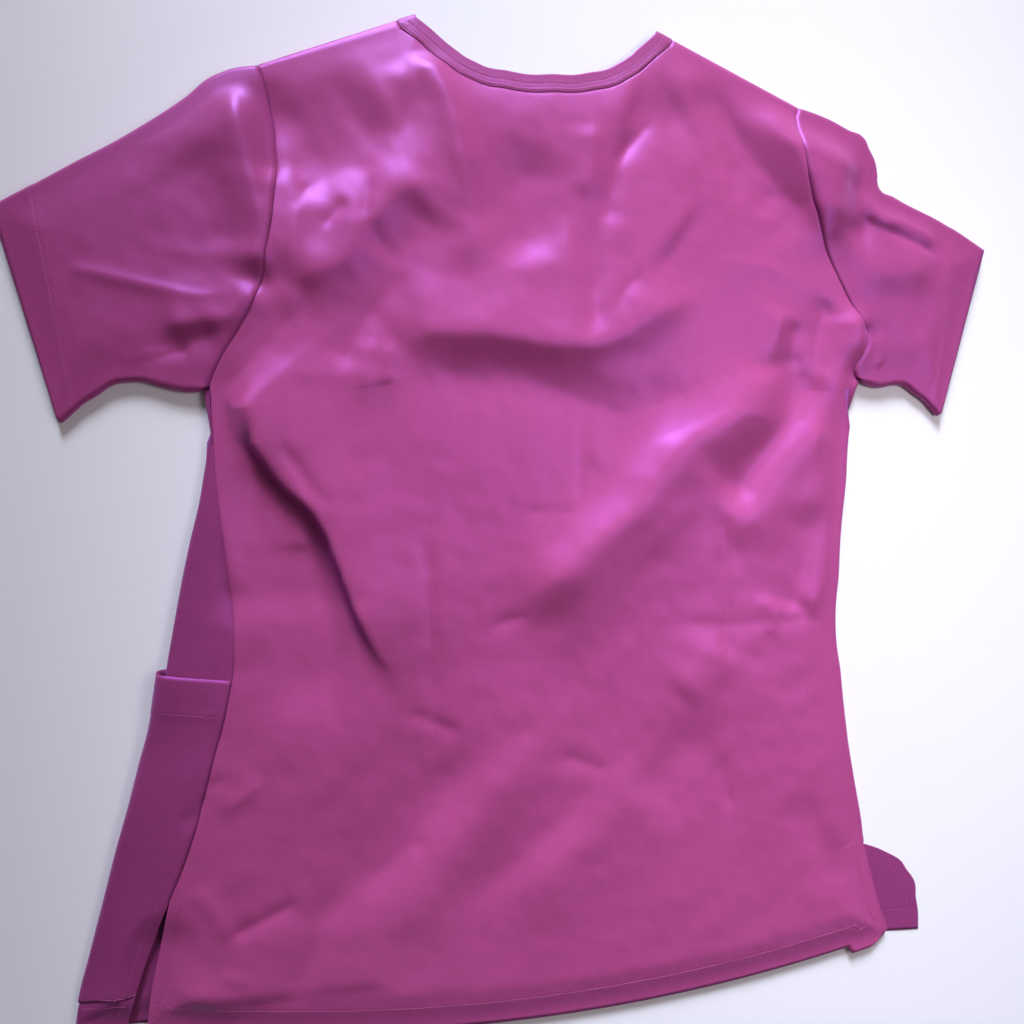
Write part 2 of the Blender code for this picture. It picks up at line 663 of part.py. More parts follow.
def fill_panel(plain, strips, foot, top):
    """All plan points of a panel, row by row: from its plain side to its turned side.
    foot and top are the plan points along its lower and upper edges, up to where the strip begins."""
    begin = np.array([strip[0] for strip in strips])
    share_foot = (foot[:, 0] - foot[0, 0]) / (foot[-1, 0] - foot[0, 0])
    share_top = (top[:, 0] - top[0, 0]) / (top[-1, 0] - top[0, 0])
    climb = (plain[:, 1] - plain[0, 1]) / (plain[-1, 1] - plain[0, 1])
    grid = []
    for w, start, end, strip in zip(climb, plain, begin, strips):
        share = share_foot + (share_top - share_foot) * w
        x = start[0] + share * (end[0] - start[0])
        level = foot[:, 1] + (top[:, 1] - foot[:, 1]) * w
        y = level + (1 - share) * (start[1] - level[0]) + share * (end[1] - level[-1])
        grid.append(np.concatenate([np.column_stack([x, y])[:-1], strip]))
    return np.array(grid)


def along_line(start, end, count):
    return np.linspace(start, end, count + 1)


def beside(line, distance):
    """A line of points beside another, at its right hand, with its corners mitred."""
    step = np.diff(line, axis=0)
    step /= np.linalg.norm(step, axis=1)[:, None]
    before, after = np.concatenate([step[:1], step]), np.concatenate([step, step[-1:]])
    along = (before + after) / np.linalg.norm(before + after, axis=1)[:, None]
    stretch = 1 / np.sum(along * after, axis=1)
    normal = np.stack([along[:, 1], -along[:, 0]], -1)
    return line + normal * (distance * stretch)[:, None]


def over_shoulder(name):
    """The neckline's stations where it runs out over a shoulder, from the seam underneath back up."""
    line = SHOULDERS[name]
    half = math.pi * line["radii"][0]
    past = np.array([half + SHOULDER_UNDERLAP] + [half * a for a in ARC[::-1]])
    return line["neck"] + line["out"] * past[:, None]


def back_neck_line():
    """The back neckline's outer edge on the flat plan, with its ends out over the shoulders."""
    left, right = SHOULDERS["left"]["neck"], SHOULDERS["right"]["neck"]
    across = curve([left, *rows_of(NECKLINE)[1:-1], right], np.linspace(0, 1, BACK_COLUMNS["neck"] + 1))
    return np.concatenate([over_shoulder("left"), across, over_shoulder("right")[::-1]])


def front_neck_line():
    """The front's V neckline on the table, from the right shoulder seam down to its point and up again."""
    sides = {}
    for name, line in SHOULDERS.items():
        inward = np.array([[SHOULDER_UNDERLAP + SEAM_GAP], [BAND_WIDTH * 2]])
        sides[name] = line["neck"] - line["out"] * inward
    point = np.array([0.0, sides["left"][0, 1] - FRONT_V_DEPTH])
    shares = np.linspace(0, 1, FRONT_COLUMNS["each side of the neck"])[:, None]
    down = np.concatenate([sides["right"][:1], sides["right"][1] + (point - sides["right"][1]) * shares])
    up = np.concatenate([sides["left"][:1], sides["left"][1] + (point - sides["left"][1]) * shares])[::-1]
    return np.concatenate([down, up[1:]])


def back_panel_patches():
    """The back's plan, whose right side is turned under: the body, and the part beyond each shoulder."""
    left_y = row_heights(BACK_VENT_LEFT["height"][0], VENT_LEFT, UNDERARM_LEFT)
    seam = side(LEFT_SIDE, "folded", left_y) + left_seam_in(left_y) + SEAM_GAP / 2
    vent = side(BACK_VENT_LEFT, "x", left_y)
    left = np.column_stack([np.where(left_y < VENT_LEFT, vent, seam), left_y])
    even_fan(left)
    plain = plain_side(left, "left")
    strips = turned_side("right", RIGHT_SIDE, right_tangent, BACK_VENT_RIGHT, VENT_RIGHT, UNDERARM_RIGHT)
    neck = beside(back_neck_line(), BAND_WIDTH + BAND_GAP)
    flaps = {"left": [], "right": []}
    for name, line in SHOULDERS.items():
        necks = neck[: len(ARC) + 2][::-1] if name == "left" else neck[-len(ARC) - 2 :]
        half = math.pi * line["radii"][1]
        for past, at_neck in zip([0.0] + [half * a for a in ARC] + [half + SHOULDER_UNDERLAP], necks):
            tip = line["tip"] + line["out"] * past
            if name == "left":
                flaps[name].append(along_line(tip, at_neck, BACK_COLUMNS["left shoulder"]))
            else:
                inner = tip + (at_neck - tip) * SHOULDER_STRIP
                across = along_line(at_neck, inner, BACK_COLUMNS["right shoulder"])
                flaps[name].append(np.concatenate([across[:-1], strip_row(inner, tip)]))
    right_start = flaps["right"][0][: BACK_COLUMNS["right shoulder"] + 1]
    strips[-1] = flaps["right"][0][BACK_COLUMNS["right shoulder"] :]
    across_neck = neck[len(ARC) + 1 : -len(ARC) - 1]
    top = np.concatenate([flaps["left"][0][:-1], across_neck[:-1], right_start])
    foot_x = np.linspace(plain[0, 0], strips[0][0][0], len(top))
    foot = np.column_stack([foot_x, hem(foot_x)])
    foot[0], foot[-1] = plain[0], strips[0][0]
    return [fill_panel(plain, strips, foot, top), np.array(flaps["left"]), np.array(flaps["right"])]


def even_fan(edge):
    """Draws a side's edge straight beside the fan rows, as the turned side's is there."""
    first = len(edge) - FAN_ROWS - 2
    edge[first:, 0] = np.interp(edge[first:, 1], edge[[first, -1], 1], edge[[first, -1], 0])


def front_panel_patches():
    """The front's plan: right side plain, left side turned up and over."""
    right_y = row_heights(FRONT_VENT_RIGHT["y"][0], VENT_RIGHT, UNDERARM_RIGHT)
    tangent, radius = right_tangent(right_y)
    under = np.maximum(side(RIGHT_SIDE, "seam", right_y) - radius, LEAST_UNDER)
    right = np.column_stack([tangent - under - SEAM_GAP / 2, right_y])
    even_fan(right)
    flap_shares = np.linspace(0, 1, ROWS_VENT + 1)
    for k, axis in enumerate(("x", "y")):
        values = through(FRONT_VENT_RIGHT["share"], FRONT_VENT_RIGHT[axis], flap_shares)
        right[: ROWS_VENT + 1, k] = values
    plain = plain_side(right, "right")[:-1]
    strips = turned_side("left", LEFT_SIDE, left_tangent, FRONT_VENT_LEFT, VENT_LEFT, UNDERARM_LEFT)[:-1]
    seam_lines = {}
    for name, line in SHOULDERS.items():
        seam_lines[name] = line["tip"] - line["out"] * (SHOULDER_UNDERLAP + SEAM_GAP)
    neck = beside(front_neck_line(), -(BAND_WIDTH + BAND_GAP))
    inner = seam_lines["left"] + (neck[-1] - seam_lines["left"]) * SHOULDER_STRIP
    strips[-1] = strip_row(inner, seam_lines["left"])
    top = np.concatenate(
        [
            along_line(plain[-1], neck[0], FRONT_COLUMNS["right shoulder"])[:-1],
            neck[:-1],
            along_line(neck[-1], inner, FRONT_COLUMNS["left shoulder"]),
        ]
    )
    foot_x = np.linspace(plain[0, 0], strips[0][0][0], len(top))
    foot = np.column_stack([foot_x, through(FRONT_HEM["x"], FRONT_HEM["y"], foot_x)])
    foot[0], foot[-1] = plain[0], strips[0][0]
    return [fill_panel(plain, strips, foot, top)]


def sleeve_rings(which):
    """A sleeve as closed rings in space, from the armhole to the cuff: up over the top layer from the
    underarm, round the upper fold, and back along the table."""
    sign = -1 if which == "left" else 1
    edges = SLEEVES[which]
    hole = armhole(which) + np.array([sign * ARMHOLE_GAP, 0.0])
    hole[0] += (0.0, WALL / 2 + BAND_GAP)
    spread = np.concatenate([[0], np.cumsum(np.linalg.norm(np.diff(hole, axis=0), axis=1))])
    spread /= spread[-1]
    foot, top = edges["foot"]["tangent"].copy(), edges["top"]["tangent"].copy()
    foot[0], top[0] = hole[0], hole[-1]
    rings = []
    for i, share in enumerate(SLEEVE_STATIONS):
        chord = foot[i] + (top[i] - foot[i]) * spread[:, None]
        bulge = hole - (foot[0] + (top[0] - foot[0]) * spread[:, None])
        plan = chord + bulge * (1 - smoothstep(share))
        radius = edges["top"]["radius"][i]
        upper = np.column_stack([plan, top_height(plan[:, 0], plan[:, 1])])
        lower = np.column_stack([plan, np.full(len(plan), LOWEST)])[::-1]
        past = np.array(ARC[:-1]) * math.pi * radius
        high = LOWEST + 2 * radius
        over, over_z = roll(past, radius, top[i], edges["top"]["out"][i], high, LOWEST)
        under, under_z = roll(past, radius, foot[i], edges["foot"]["out"][i], high, LOWEST)
        rings.append(
            np.concatenate(
                [upper, np.column_stack([over, over_z]), lower, np.column_stack([under, under_z])[::-1]]
            )
        )
    return np.array(rings)


def band_points(line, hand):
    """The plan points of a neckband: its outer edge and the lines beside it. hand is 1 for the right."""
    return np.array([beside(line, hand * BAND_WIDTH * share) for share in (0.0, 0.5, 1.0)])


def pocket_points():
    """The pocket on the front's flat plan, from its inner edge round the fold to the side seam.
    Its rows are the front's, so that the two layers bend alike."""
    rows = []
    heights = row_heights(FRONT_VENT_LEFT["height"][0], VENT_LEFT, UNDERARM_LEFT)
    for y in heights[(heights >= POCKET_FOOT) & (heights <= POCKET_TOP)]:
        drop = (POCKET_TOP - POCKET_TOP_AT_SEAM) * (y - POCKET_FOOT) / (POCKET_TOP - POCKET_FOOT)
        half = math.pi * float(left_tangent(y - drop)[1])
        inner = np.linspace(POCKET_INNER_EDGE, float(left_tangent(y)[0]), POCKET_COLUMNS["under"])
        round_fold = half * np.linspace(0, 1, POCKET_COLUMNS["fold"] + 1)[1:]
        on_top = half + front_edge_over(y - drop) * np.linspace(0, 1, POCKET_COLUMNS["top"] + 1)[1:]
        past = np.concatenate([round_fold, on_top])
        level = y - drop * past / past[-1]
        outer = np.column_stack([left_tangent(level)[0] - past, level])
        rows.append(np.concatenate([np.column_stack([inner, np.full(len(inner), y)]), outer]))
    return np.array(rows)


def pocket_surface(points):
    """The pocket lies on the outside of the front, and its mouth stands a little open at the fold."""
    here = front_surface(points)
    across = front_surface(points + [0.5, 0.0]) - front_surface(points - [0.5, 0.0])
    up = front_surface(points + [0.0, 0.5]) - front_surface(points - [0.0, 0.5])
    out = -np.cross(across, up)
    out /= np.linalg.norm(out, axis=1)[:, None]
    tangent, radius = left_tangent(points[:, 1])
    half_turns = (tangent - points[:, 0]) / (math.pi * radius)
    at_fold = smoothstep(half_turns / GAPE_START) * smoothstep((GAPE_END - half_turns) / (GAPE_END - 1))
    at_mouth = smoothstep((points[:, 1] - POCKET_TOP + GAPE_DEPTH) / GAPE_DEPTH)
    return here + out * (POCKET_STEP + GAPE * at_fold * at_mouth)[:, None]


# ---------------------------------------------------------------- meshes


def cloth_material(name, colour):
    material = bpy.data.materials.new(name)
    material.use_nodes = True
    shader = material.node_tree.nodes["Principled BSDF"]
    shader.inputs["Base Color"].default_value = colour
    shader.inputs["Roughness"].default_value = 0.55
    shader.inputs["Metallic"].default_value = 0.0
    material.diffuse_color = colour
    return material


def sheet(name, patches, wall, colour, closed=False):
    """Grids of points in space as one walled sheet of cloth, joined where their points are the same.
    closed joins each row's end to its start."""
    numbers = {}
    faces = []
    for patch in patches:
        rows, columns = patch.shape[:2]
        keys = [tuple(place) for place in np.round(patch.reshape(-1, 3), 4).tolist()]
        index = np.array([numbers.setdefault(key, len(numbers)) for key in keys]).reshape(rows, columns)
        for i in range(rows - 1):
            for j in range(columns if closed else columns - 1):
                k = (j + 1) % columns
                faces.append((index[i, j], index[i, k], index[i + 1, k], index[i + 1, j]))
    places = (np.array(list(numbers)) - [CENTRE_X, CENTRE_Y, 0.0]) * MM
    mesh = bpy.data.meshes.new(name)
    mesh.from_pydata(places.tolist(), [], [tuple(int(i) for i in face) for face in faces])
    mesh.shade_smooth()
    cloth = bpy.data.objects.new(name, mesh)
    bpy.context.scene.collection.objects.link(cloth)
    thickness = cloth.modifiers.new("wall", "SOLIDIFY")
    thickness.thickness = wall * MM
    thickness.offset = 0.0
    mesh.materials.append(cloth_material(name + "_cloth", colour))
    return cloth


def on_surface(surface, patches):
    return [surface(patch.reshape(-1, 2)).reshape(*patch.shape[:2], 3) for patch in patches]


def lying(points):
    return np.column_stack([points, np.full(len(points), LOWEST)])


def back_band_surface(points):
    """The neckband carries the back panel on out to the neckline."""
    placed = back_surface(points)
    placed[:, 2] += (BAND_WALL - WALL) / 2
    return placed


def front_band_surface(points):
    placed = lying(points)
    placed[:, 2] = BAND_WALL / 2
    return placed


def main():
    for old in list(bpy.data.objects):
        bpy.data.objects.remove(old, do_unlink=True)
    cloth, band = COLOURS["poplin"], COLOURS["poplin_band"]
    sheet("back_panel", on_surface(back_surface, back_panel_patches()), WALL, cloth)
    sheet("front_panel", on_surface(front_surface, front_panel_patches()), WALL, cloth)
    for which in ("left", "right"):
        sheet(which + "_sleeve", [sleeve_rings(which)], WALL, cloth, closed=True)
    back_band = band_points(back_neck_line(), 1)
    sheet("back_neckband", on_surface(back_band_surface, [back_band]), BAND_WALL, band)
    front_band = band_points(front_neck_line(), -1)
    sheet("front_neckband", on_surface(front_band_surface, [front_band]), BAND_WALL, band)
    sheet("left_pocket", on_surface(pocket_surface, [pocket_points()]), WALL, cloth)


main()
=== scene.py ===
"""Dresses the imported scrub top. Each cut piece becomes a fine sheet of poplin on the form of its solid,
with its folds, creases, seams and stitches. The floor, the light and the camera go round it.

Sheets are laid out on a flat plan, X across the top and Y from the hem up to the neck. What lies beyond
a fold line is rolled round it: the back goes under at the right side and the shoulders, and the front
comes over at the left side. Tables and sizes are in millimetres, and finished meshes are in metres.
"""

import math

import bpy
import numpy as np
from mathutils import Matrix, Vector


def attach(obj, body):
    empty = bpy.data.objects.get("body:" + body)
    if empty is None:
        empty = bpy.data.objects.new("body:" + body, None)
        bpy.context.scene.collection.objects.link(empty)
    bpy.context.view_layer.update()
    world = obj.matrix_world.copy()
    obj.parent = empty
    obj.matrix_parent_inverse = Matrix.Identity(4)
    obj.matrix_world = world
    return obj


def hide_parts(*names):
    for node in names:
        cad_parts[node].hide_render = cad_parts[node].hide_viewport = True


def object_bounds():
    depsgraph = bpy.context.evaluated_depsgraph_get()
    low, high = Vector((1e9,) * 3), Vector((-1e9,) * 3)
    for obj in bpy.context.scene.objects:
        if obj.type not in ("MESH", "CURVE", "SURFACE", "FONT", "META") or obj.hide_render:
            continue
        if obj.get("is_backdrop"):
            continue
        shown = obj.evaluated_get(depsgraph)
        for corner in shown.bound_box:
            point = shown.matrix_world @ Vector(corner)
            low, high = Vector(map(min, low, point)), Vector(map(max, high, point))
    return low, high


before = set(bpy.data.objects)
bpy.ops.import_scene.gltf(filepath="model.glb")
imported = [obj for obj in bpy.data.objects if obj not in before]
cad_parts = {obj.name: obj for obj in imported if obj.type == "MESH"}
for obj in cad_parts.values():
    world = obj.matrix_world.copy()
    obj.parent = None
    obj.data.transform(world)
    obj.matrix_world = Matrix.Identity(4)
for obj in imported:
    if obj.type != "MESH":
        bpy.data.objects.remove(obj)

CAD_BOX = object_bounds()
MM = 0.001
FAR, TINY = 1e3, 1e-9

# Driving dimensions, the same as the solids have, apart from the seams, whose gaps close up here
WALL = 1.4
BAND_WALL = 1.9
SEAM_GAP = 0.08
BAND_GAP = 0.15
ARMHOLE_GAP = 0.12
POCKET_STEP = 2.0  # from the middle of the front's cloth to the pocket's
LOWEST = WALL / 2  # the middle of cloth that lies on the table
CENTRE_X, CENTRE_Y = 0.0, 327.4  # the plan point that comes to the origin
HEM_LOW, HEM_CENTRE, HEM_CURVE = -14.0, -10.0, 0.00041
CORNER_RUN, CORNER_RISE = 12.0, 5.0  # the hem's rounded corner at the right vent
BAND_WIDTH = 12.0
SHOULDER_UNDERLAP = 5.0  # how far the back goes on underneath, past its roll over each shoulder
UNDERARM_LEFT, UNDERARM_RIGHT = 420.5, 430.5
VENT_LEFT, VENT_RIGHT = 98.0, 85.0
POCKET_TOP, POCKET_TOP_AT_SEAM, POCKET_FOOT = 243.0, 235.0, 35.0
POCKET_INNER_EDGE = -150.0
POCKET_SINK = 1.6  # how much closer to the front the pocket lies once it is round the fold
GAPE, GAPE_DEPTH = 5.0, 55.0  # how far the pocket's mouth stands open, and how far down that reaches
GAPE_START, GAPE_END = 0.8, 4.5  # where it has opened and where it is shut again, in half turns
POCKET_CLEAR, POCKET_RAMP = 24.0, 24.0  # how the front climbs over the pocket, at its side and mouth
FOOT_CLEAR, FOOT_RAMP = 3.0, 12.0  # and at its foot
FRONT_V_DEPTH = 160.0
EDGE_HEIGHT_NECK, EDGE_HEIGHT_SLEEVE, EDGE_HEIGHT_CUFF, EDGE_HEIGHT_HEM = 6.0, 7.5, 5.5, 3.8
VENT_EDGE_HEIGHT = 6.0
RIM_WIDTH = 30.0  # the cloth climbs from its edges to its full height over this width
BACK_OVER_FRONT = 2.3  # the least from the middle of the front's cloth up to the back's
BILLOW = 6.0  # how much further off the back stands between its folds
LEAST_UNDER = 1.0  # a side seam lies at least this far past its roll
FOLD_STEP = 1.3  # the length of the straight pieces that a fold's line is measured by
FOLD_REACH, CREST_ROUND = 3.0, 0.03  # how many half widths a fold reaches, and how round its crest is

# The fine sheets: their thickness, and how they dip into their seams and stand up at their hems
SHEET, BAND_SHEET = 0.6, 1.1
SEAM_DEPTH, SEAM_RUN = 0.25, 1.6
HEM_FOLD, VENT_FOLD, CUFF_FOLD, POCKET_FOLD = 19.0, 9.0, 21.0, 24.0
HEM_STEP, HEM_STEP_RUN = 0.3, 1.6

# Mesh density, and the strips of columns at the sides where a panel turns round its fold
ROWS_VENT, ROWS_SIDE, ROWS_ARMHOLE = 30, 100, 74
ARC = tuple(i / 8 for i in range(1, 9))  # stations round a roll, as shares of the half circle
INNER, UNDER = 5, 14  # columns before a roll and after it
SHARES_UNDER = np.linspace(0, 1, UNDER + 1)[1:]
FAN_ROWS = len(ARC) + 1  # the short rows that end a roll at the underarm
FAN_STEP, FAN_REACH = 1.4, 34.0
STRIP_COLUMNS = INNER + len(ARC) + UNDER
STRIP_SHARES = tuple(i / STRIP_COLUMNS for i in range(STRIP_COLUMNS + 1))
STRIP_IN, STRIP_SPREAD = 16.0, 0.16  # a strip's width before the fold, and what each armhole row adds
FLAT_STRIP = 24.0  # its width beside the right vent, where it lies flat
SHOULDER_STRIP = 0.24  # its share of a shoulder
PIN_SAMPLES = 60
BACK_COLUMNS = {"left shoulder": 44, "neck": 76, "right shoulder": 32}
FRONT_COLUMNS = {"right shoulder": 12, "each side of the neck": 30, "left shoulder": 14}
SLEEVE_STATIONS = tuple(i / 56 for i in range(57))
SLEEVE_SEAM = -3  # the column of a sleeve's grid that its seam runs along
SLOPE_SPAN = 0.02  # how far along a sleeve's fold line its direction is read, as a share of its length
POCKET_COLUMNS, POCKET_ROWS = {"under": 24, "fold": 16, "top": 14}, 76
CROWD = (0.15, 0.4, 0.7)  # extra lines beside a sewn edge, as shares of the first cell
SAME_PLACE = 4  # points that agree to this many decimals are one

# Stitches: low rounded bars, whose rings are given by their place along it and their size
STITCH_SPACING, STITCH_SHARE, STITCH_WIDTH, STITCH_HEIGHT, STITCH_LIFT = 2.6, 0.8, 0.55, 0.4, 0.02
STITCH_RINGS, STITCH_SIDES = ((-0.5, 0.35), (-0.3, 0.9), (0.3, 0.9), (0.5, 0.35)), 5
STITCH_END, STITCH_DROP = 0.56, -0.5
STITCH_IN = 2.0  # how far a row lies inside the width of its turned edge
ROW_SMOOTHING = 6.0
ROW_ENDS = 6  # points of a hem that its row leaves free at each end
NORMAL_REACH = 0.5  # how far to each side of a point a surface is read for its slope there
BAND_SHARES = (0.0, 0.06, 0.2, 0.35, 0.5, 0.65, 0.8, 0.9, 0.96, 1.0)
BAND_ROWS = (0.5, 0.9)
DART_SHARES = np.linspace(0.03, 0.97, 24)  # the part of a dart's line that is stitched

# The unevenness of the cloth
CREASE_RIM = 12.0
RIPPLE, RIPPLE_WAVES, RIPPLE_SHORT, RIPPLE_LONG, RIPPLE_SEED = 0.16, 28, 14.0, 55.0, 7

# The poplin's weave, its patches of tone, and the furrows, puckers and shade along its rows and seams
THREADS_PER_METRE, RIB_FINENESS, WEAVE_HEIGHT = 2600.0, 0.62, 0.02
SLUB, SLUB_DETAIL, SLUB_STRETCH = 0.5, 2.0, ((900.0, 14.0, 1.0), (16.0, 700.0, 1.0))
TONE_GRAINS = ((9.0, 3.0, 0.65), (160.0, 4.0, 0.35))  # scale, detail and share of each
TONE_RANGE = (0.35, 0.65)
FURROW_WIDTH, FURROW_DEPTH, FURROW_SHADE = 0.55, 0.1, 0.14
PUCKER_WIDTH, PUCKER_HEIGHT, PUCKER_GRAIN = 5.0, 0.28, (170.0, 1.0)
IN_SEAM_WIDTH, IN_SEAM_SHADE = 0.7, 0.2
SLUB_RANGE, ROUGHNESS = (0.3, 0.7), (0.4, 0.48)
LUSTRE = {
    "Sheen Weight": 0.3,
    "Sheen Roughness": 0.4,
    "Sheen Tint": (0.62, 0.2, 1.0, 1.0),
    "IOR": 1.6,
    "Specular IOR Level": 0.72,
    "Specular Tint": (0.55, 0.2, 1.0, 1.0),
}

# The cloth's colour, that of its deeper patches and the painted shade in its seams. The front and the
# pocket on it are the same poplin as the back, painted darker: painted shade.
SEAM_SHADE = (0.16, 0.018, 0.085)
BACK_POPLIN = ((0.45, 0.074, 0.225), (0.4, 0.062, 0.195), SEAM_SHADE)
# painted shade: the front and its pocket are the back's poplin made darker, as if they lay in shade
SHADED_FRONT_POPLIN = ((0.31, 0.05, 0.17), (0.265, 0.041, 0.145), SEAM_SHADE)
# painted shade: the sleeves are the back's poplin made a little darker
SHADED_SLEEVE_POPLIN = ((0.39, 0.064, 0.2), (0.35, 0.054, 0.175), SEAM_SHADE)
BAND_POPLIN = ((0.38, 0.066, 0.185), (0.34, 0.054, 0.16), SEAM_SHADE)
COLOURS = {
    "poplin_back": BACK_POPLIN,
    "poplin_front": SHADED_FRONT_POPLIN,
    "poplin_left_sleeve": SHADED_SLEEVE_POPLIN,
    "poplin_right_sleeve": SHADED_SLEEVE_POPLIN,
    "poplin_pocket": SHADED_FRONT_POPLIN,
    "band_back": BAND_POPLIN,
    "band_front": BAND_POPLIN,
}
THREAD, THREAD_DEEP = (0.5, 0.09, 0.3), (0.38, 0.06, 0.2)
THREAD_GRAIN, THREAD_ROUGHNESS = (900.0, 2.0), 0.5


def table(columns, *lines):
    """Rows of numbers as one array for each named column."""
    return {name: np.array([line[i] for line in lines], float) for i, name in enumerate(columns.split())}


def listed(columns, *values):
    """Rows of values, each as one mapping from the named columns. The last columns may be left out."""
    return [dict(zip(columns.split(), row)) for row in values]


def unit(vectors):
    """Rows of vectors, each brought to a length of one."""
    return vectors / np.linalg.norm(vectors, axis=1)[:, None]


def run_lengths(points):
    """How far along a line of points each of them lies."""
    return np.concatenate([[0], np.cumsum(np.linalg.norm(np.diff(points, axis=0), axis=1))])


def ripples():
    """Seeded waves in all directions: their turns for each millimetre across and up, and their start."""
    chance = np.random.default_rng(RIPPLE_SEED)
    lengths = chance.uniform(RIPPLE_SHORT, RIPPLE_LONG, RIPPLE_WAVES)
    headings, turns = chance.uniform(0, 2 * math.pi, (2, RIPPLE_WAVES))
    rate = 2 * math.pi / lengths
    return np.stack([rate * np.cos(headings), rate * np.sin(headings), turns], -1)


RIPPLES = ripples()

# The body's sides. folded is where the cloth turns over, seen from above; seam is how far in from there
# the side seam lies: on top at the left, underneath at the right; rim is the height of the fold's top.
# turn is how much of the half circle the right roll has: it opens out towards the top of the vent.
LEFT_SIDE = table(
    "height folded seam rim",
    (5, -308, 33, 3.8),
    (30, -304, 33, 5.2),
    (65, -295, 36, 6.4),
    (98, -286, 40, 7.4),
    (128, -278, 44, 8.2),
    (162, -268, 44, 9.2),
    (188, -261, 44, 9.5),
    (223, -250, 42, 9.5),
    (256, -243, 39, 9.2),
    (293, -236, 30, 8.8),
    (325, -229, 20, 8.2),
    (363, -220.5, 8, 7.4),
    (388, -217.5, 4, 6.8),
    (421, -218.5, 3.7, 6.0),
)
RIGHT_SIDE = table(
    "height folded seam rim turn",
    (85, 242, 2, 3.6, 0),
    (104, 239, 4, 4.4, 0.4),
    (124, 235, 6, 5.2, 1),
    (145, 231, 8, 5.8, 1),
    (182, 225, 14, 6.8, 1),
    (217, 221, 20, 7.0, 1),
    (253, 217, 25, 7.0, 1),
    (288, 219.5, 22, 7.0, 1),
    (323, 221.5, 15, 7.0, 1),
    (358, 225.5, 8, 6.6, 1),
    (392, 228, 4.5, 6.2, 1),
    (431, 236, 3.7, 6.0, 1),
)
# The vents' free edges, from the hem up
BACK_VENT_LEFT = table("height x", (12, -264), (26, -262), (65, -254), (98, -246))
FRONT_VENT_LEFT = table("height x", (14, -276), (31, -271), (47, -266), (69, -258), (98, -246))
BACK_VENT_RIGHT = table("height x", (14, 255), (18, 259), (24, 258.5), (35, 254.5), (54, 249), (85, 240.7))
FRONT_VENT_RIGHT = table(
    "share x y",
    (0, 289, 14),
    (0.35, 287, 38),
    (0.65, 279, 61),
    (0.85, 262, 76),
    (1, 238.5, 86),
)
FRONT_HEM = table(
    "x y",
    (-345, 14),
    (-300, 14),
    (-262, 14),
    (-200, 8),
    (-100, -4),
    (0, -7),
    (100, -3),
    (200, 9),
    (240, 14.5),
    (289, 14),
)

# The armholes, from the underarm up to the shoulder
LEFT_ARMHOLE = table(
    "x y",
    (-209, 436),
    (-195, 458),
    (-184, 480),
    (-177, 508),
    (-172, 540),
    (-171, 571),
    (-174, 598),
)
RIGHT_ARMHOLE = table(
    "x y",
    (229.5, 437),
    (234.5, 447),
    (239.5, 459),
    (233, 473),
    (226, 485),
    (213, 509),
    (204, 526),
    (197, 543),
    (190, 564),
    (186, 583),
    (184, 600),
)

# Shoulder folds: the neck point and the tip of each
LEFT_SHOULDER = {"neck": (-82.0, 664.0), "tip": (-181.0, 624.0)}
RIGHT_SHOULDER = {"neck": (83.0, 667.0), "tip": (187.0, 622.0)}
NECKLINE = table(
    "x y",
    (-82, 664),
    (-73, 656),
    (-56, 643),
    (-43, 636),
    (-22, 632),
    (10, 632),
    (35, 635),
    (56, 643),
    (71, 655),
    (83, 667),
)

# The sleeves' folded edges, from the body out to the cuff
LEFT_SLEEVE_TOP = table(
    "x y",
    (-181, 624),
    (-203, 618),
    (-225, 601),
    (-247, 585),
    (-292, 557),
    (-338, 529),
)
LEFT_SLEEVE_FOOT = table(
    "x y",
    (-221, 419),
    (-230, 419),
    (-244, 422),
    (-262, 425),
    (-283, 416),
    (-303, 400),
)
RIGHT_SLEEVE_TOP = table(
    "x y",
    (187, 622),
    (207, 617),
    (228, 608.5),
    (238.5, 604.5),
    (243, 597),
    (250, 579),
    (251, 570),
    (263, 563.5),
    (300, 548),
    (338, 528),
)
RIGHT_SLEEVE_FOOT = table(
    "x y",
    (239, 428.5),
    (247, 426),
    (255, 425.5),
    (263, 427),
    (283, 420),
    (301, 405),
)

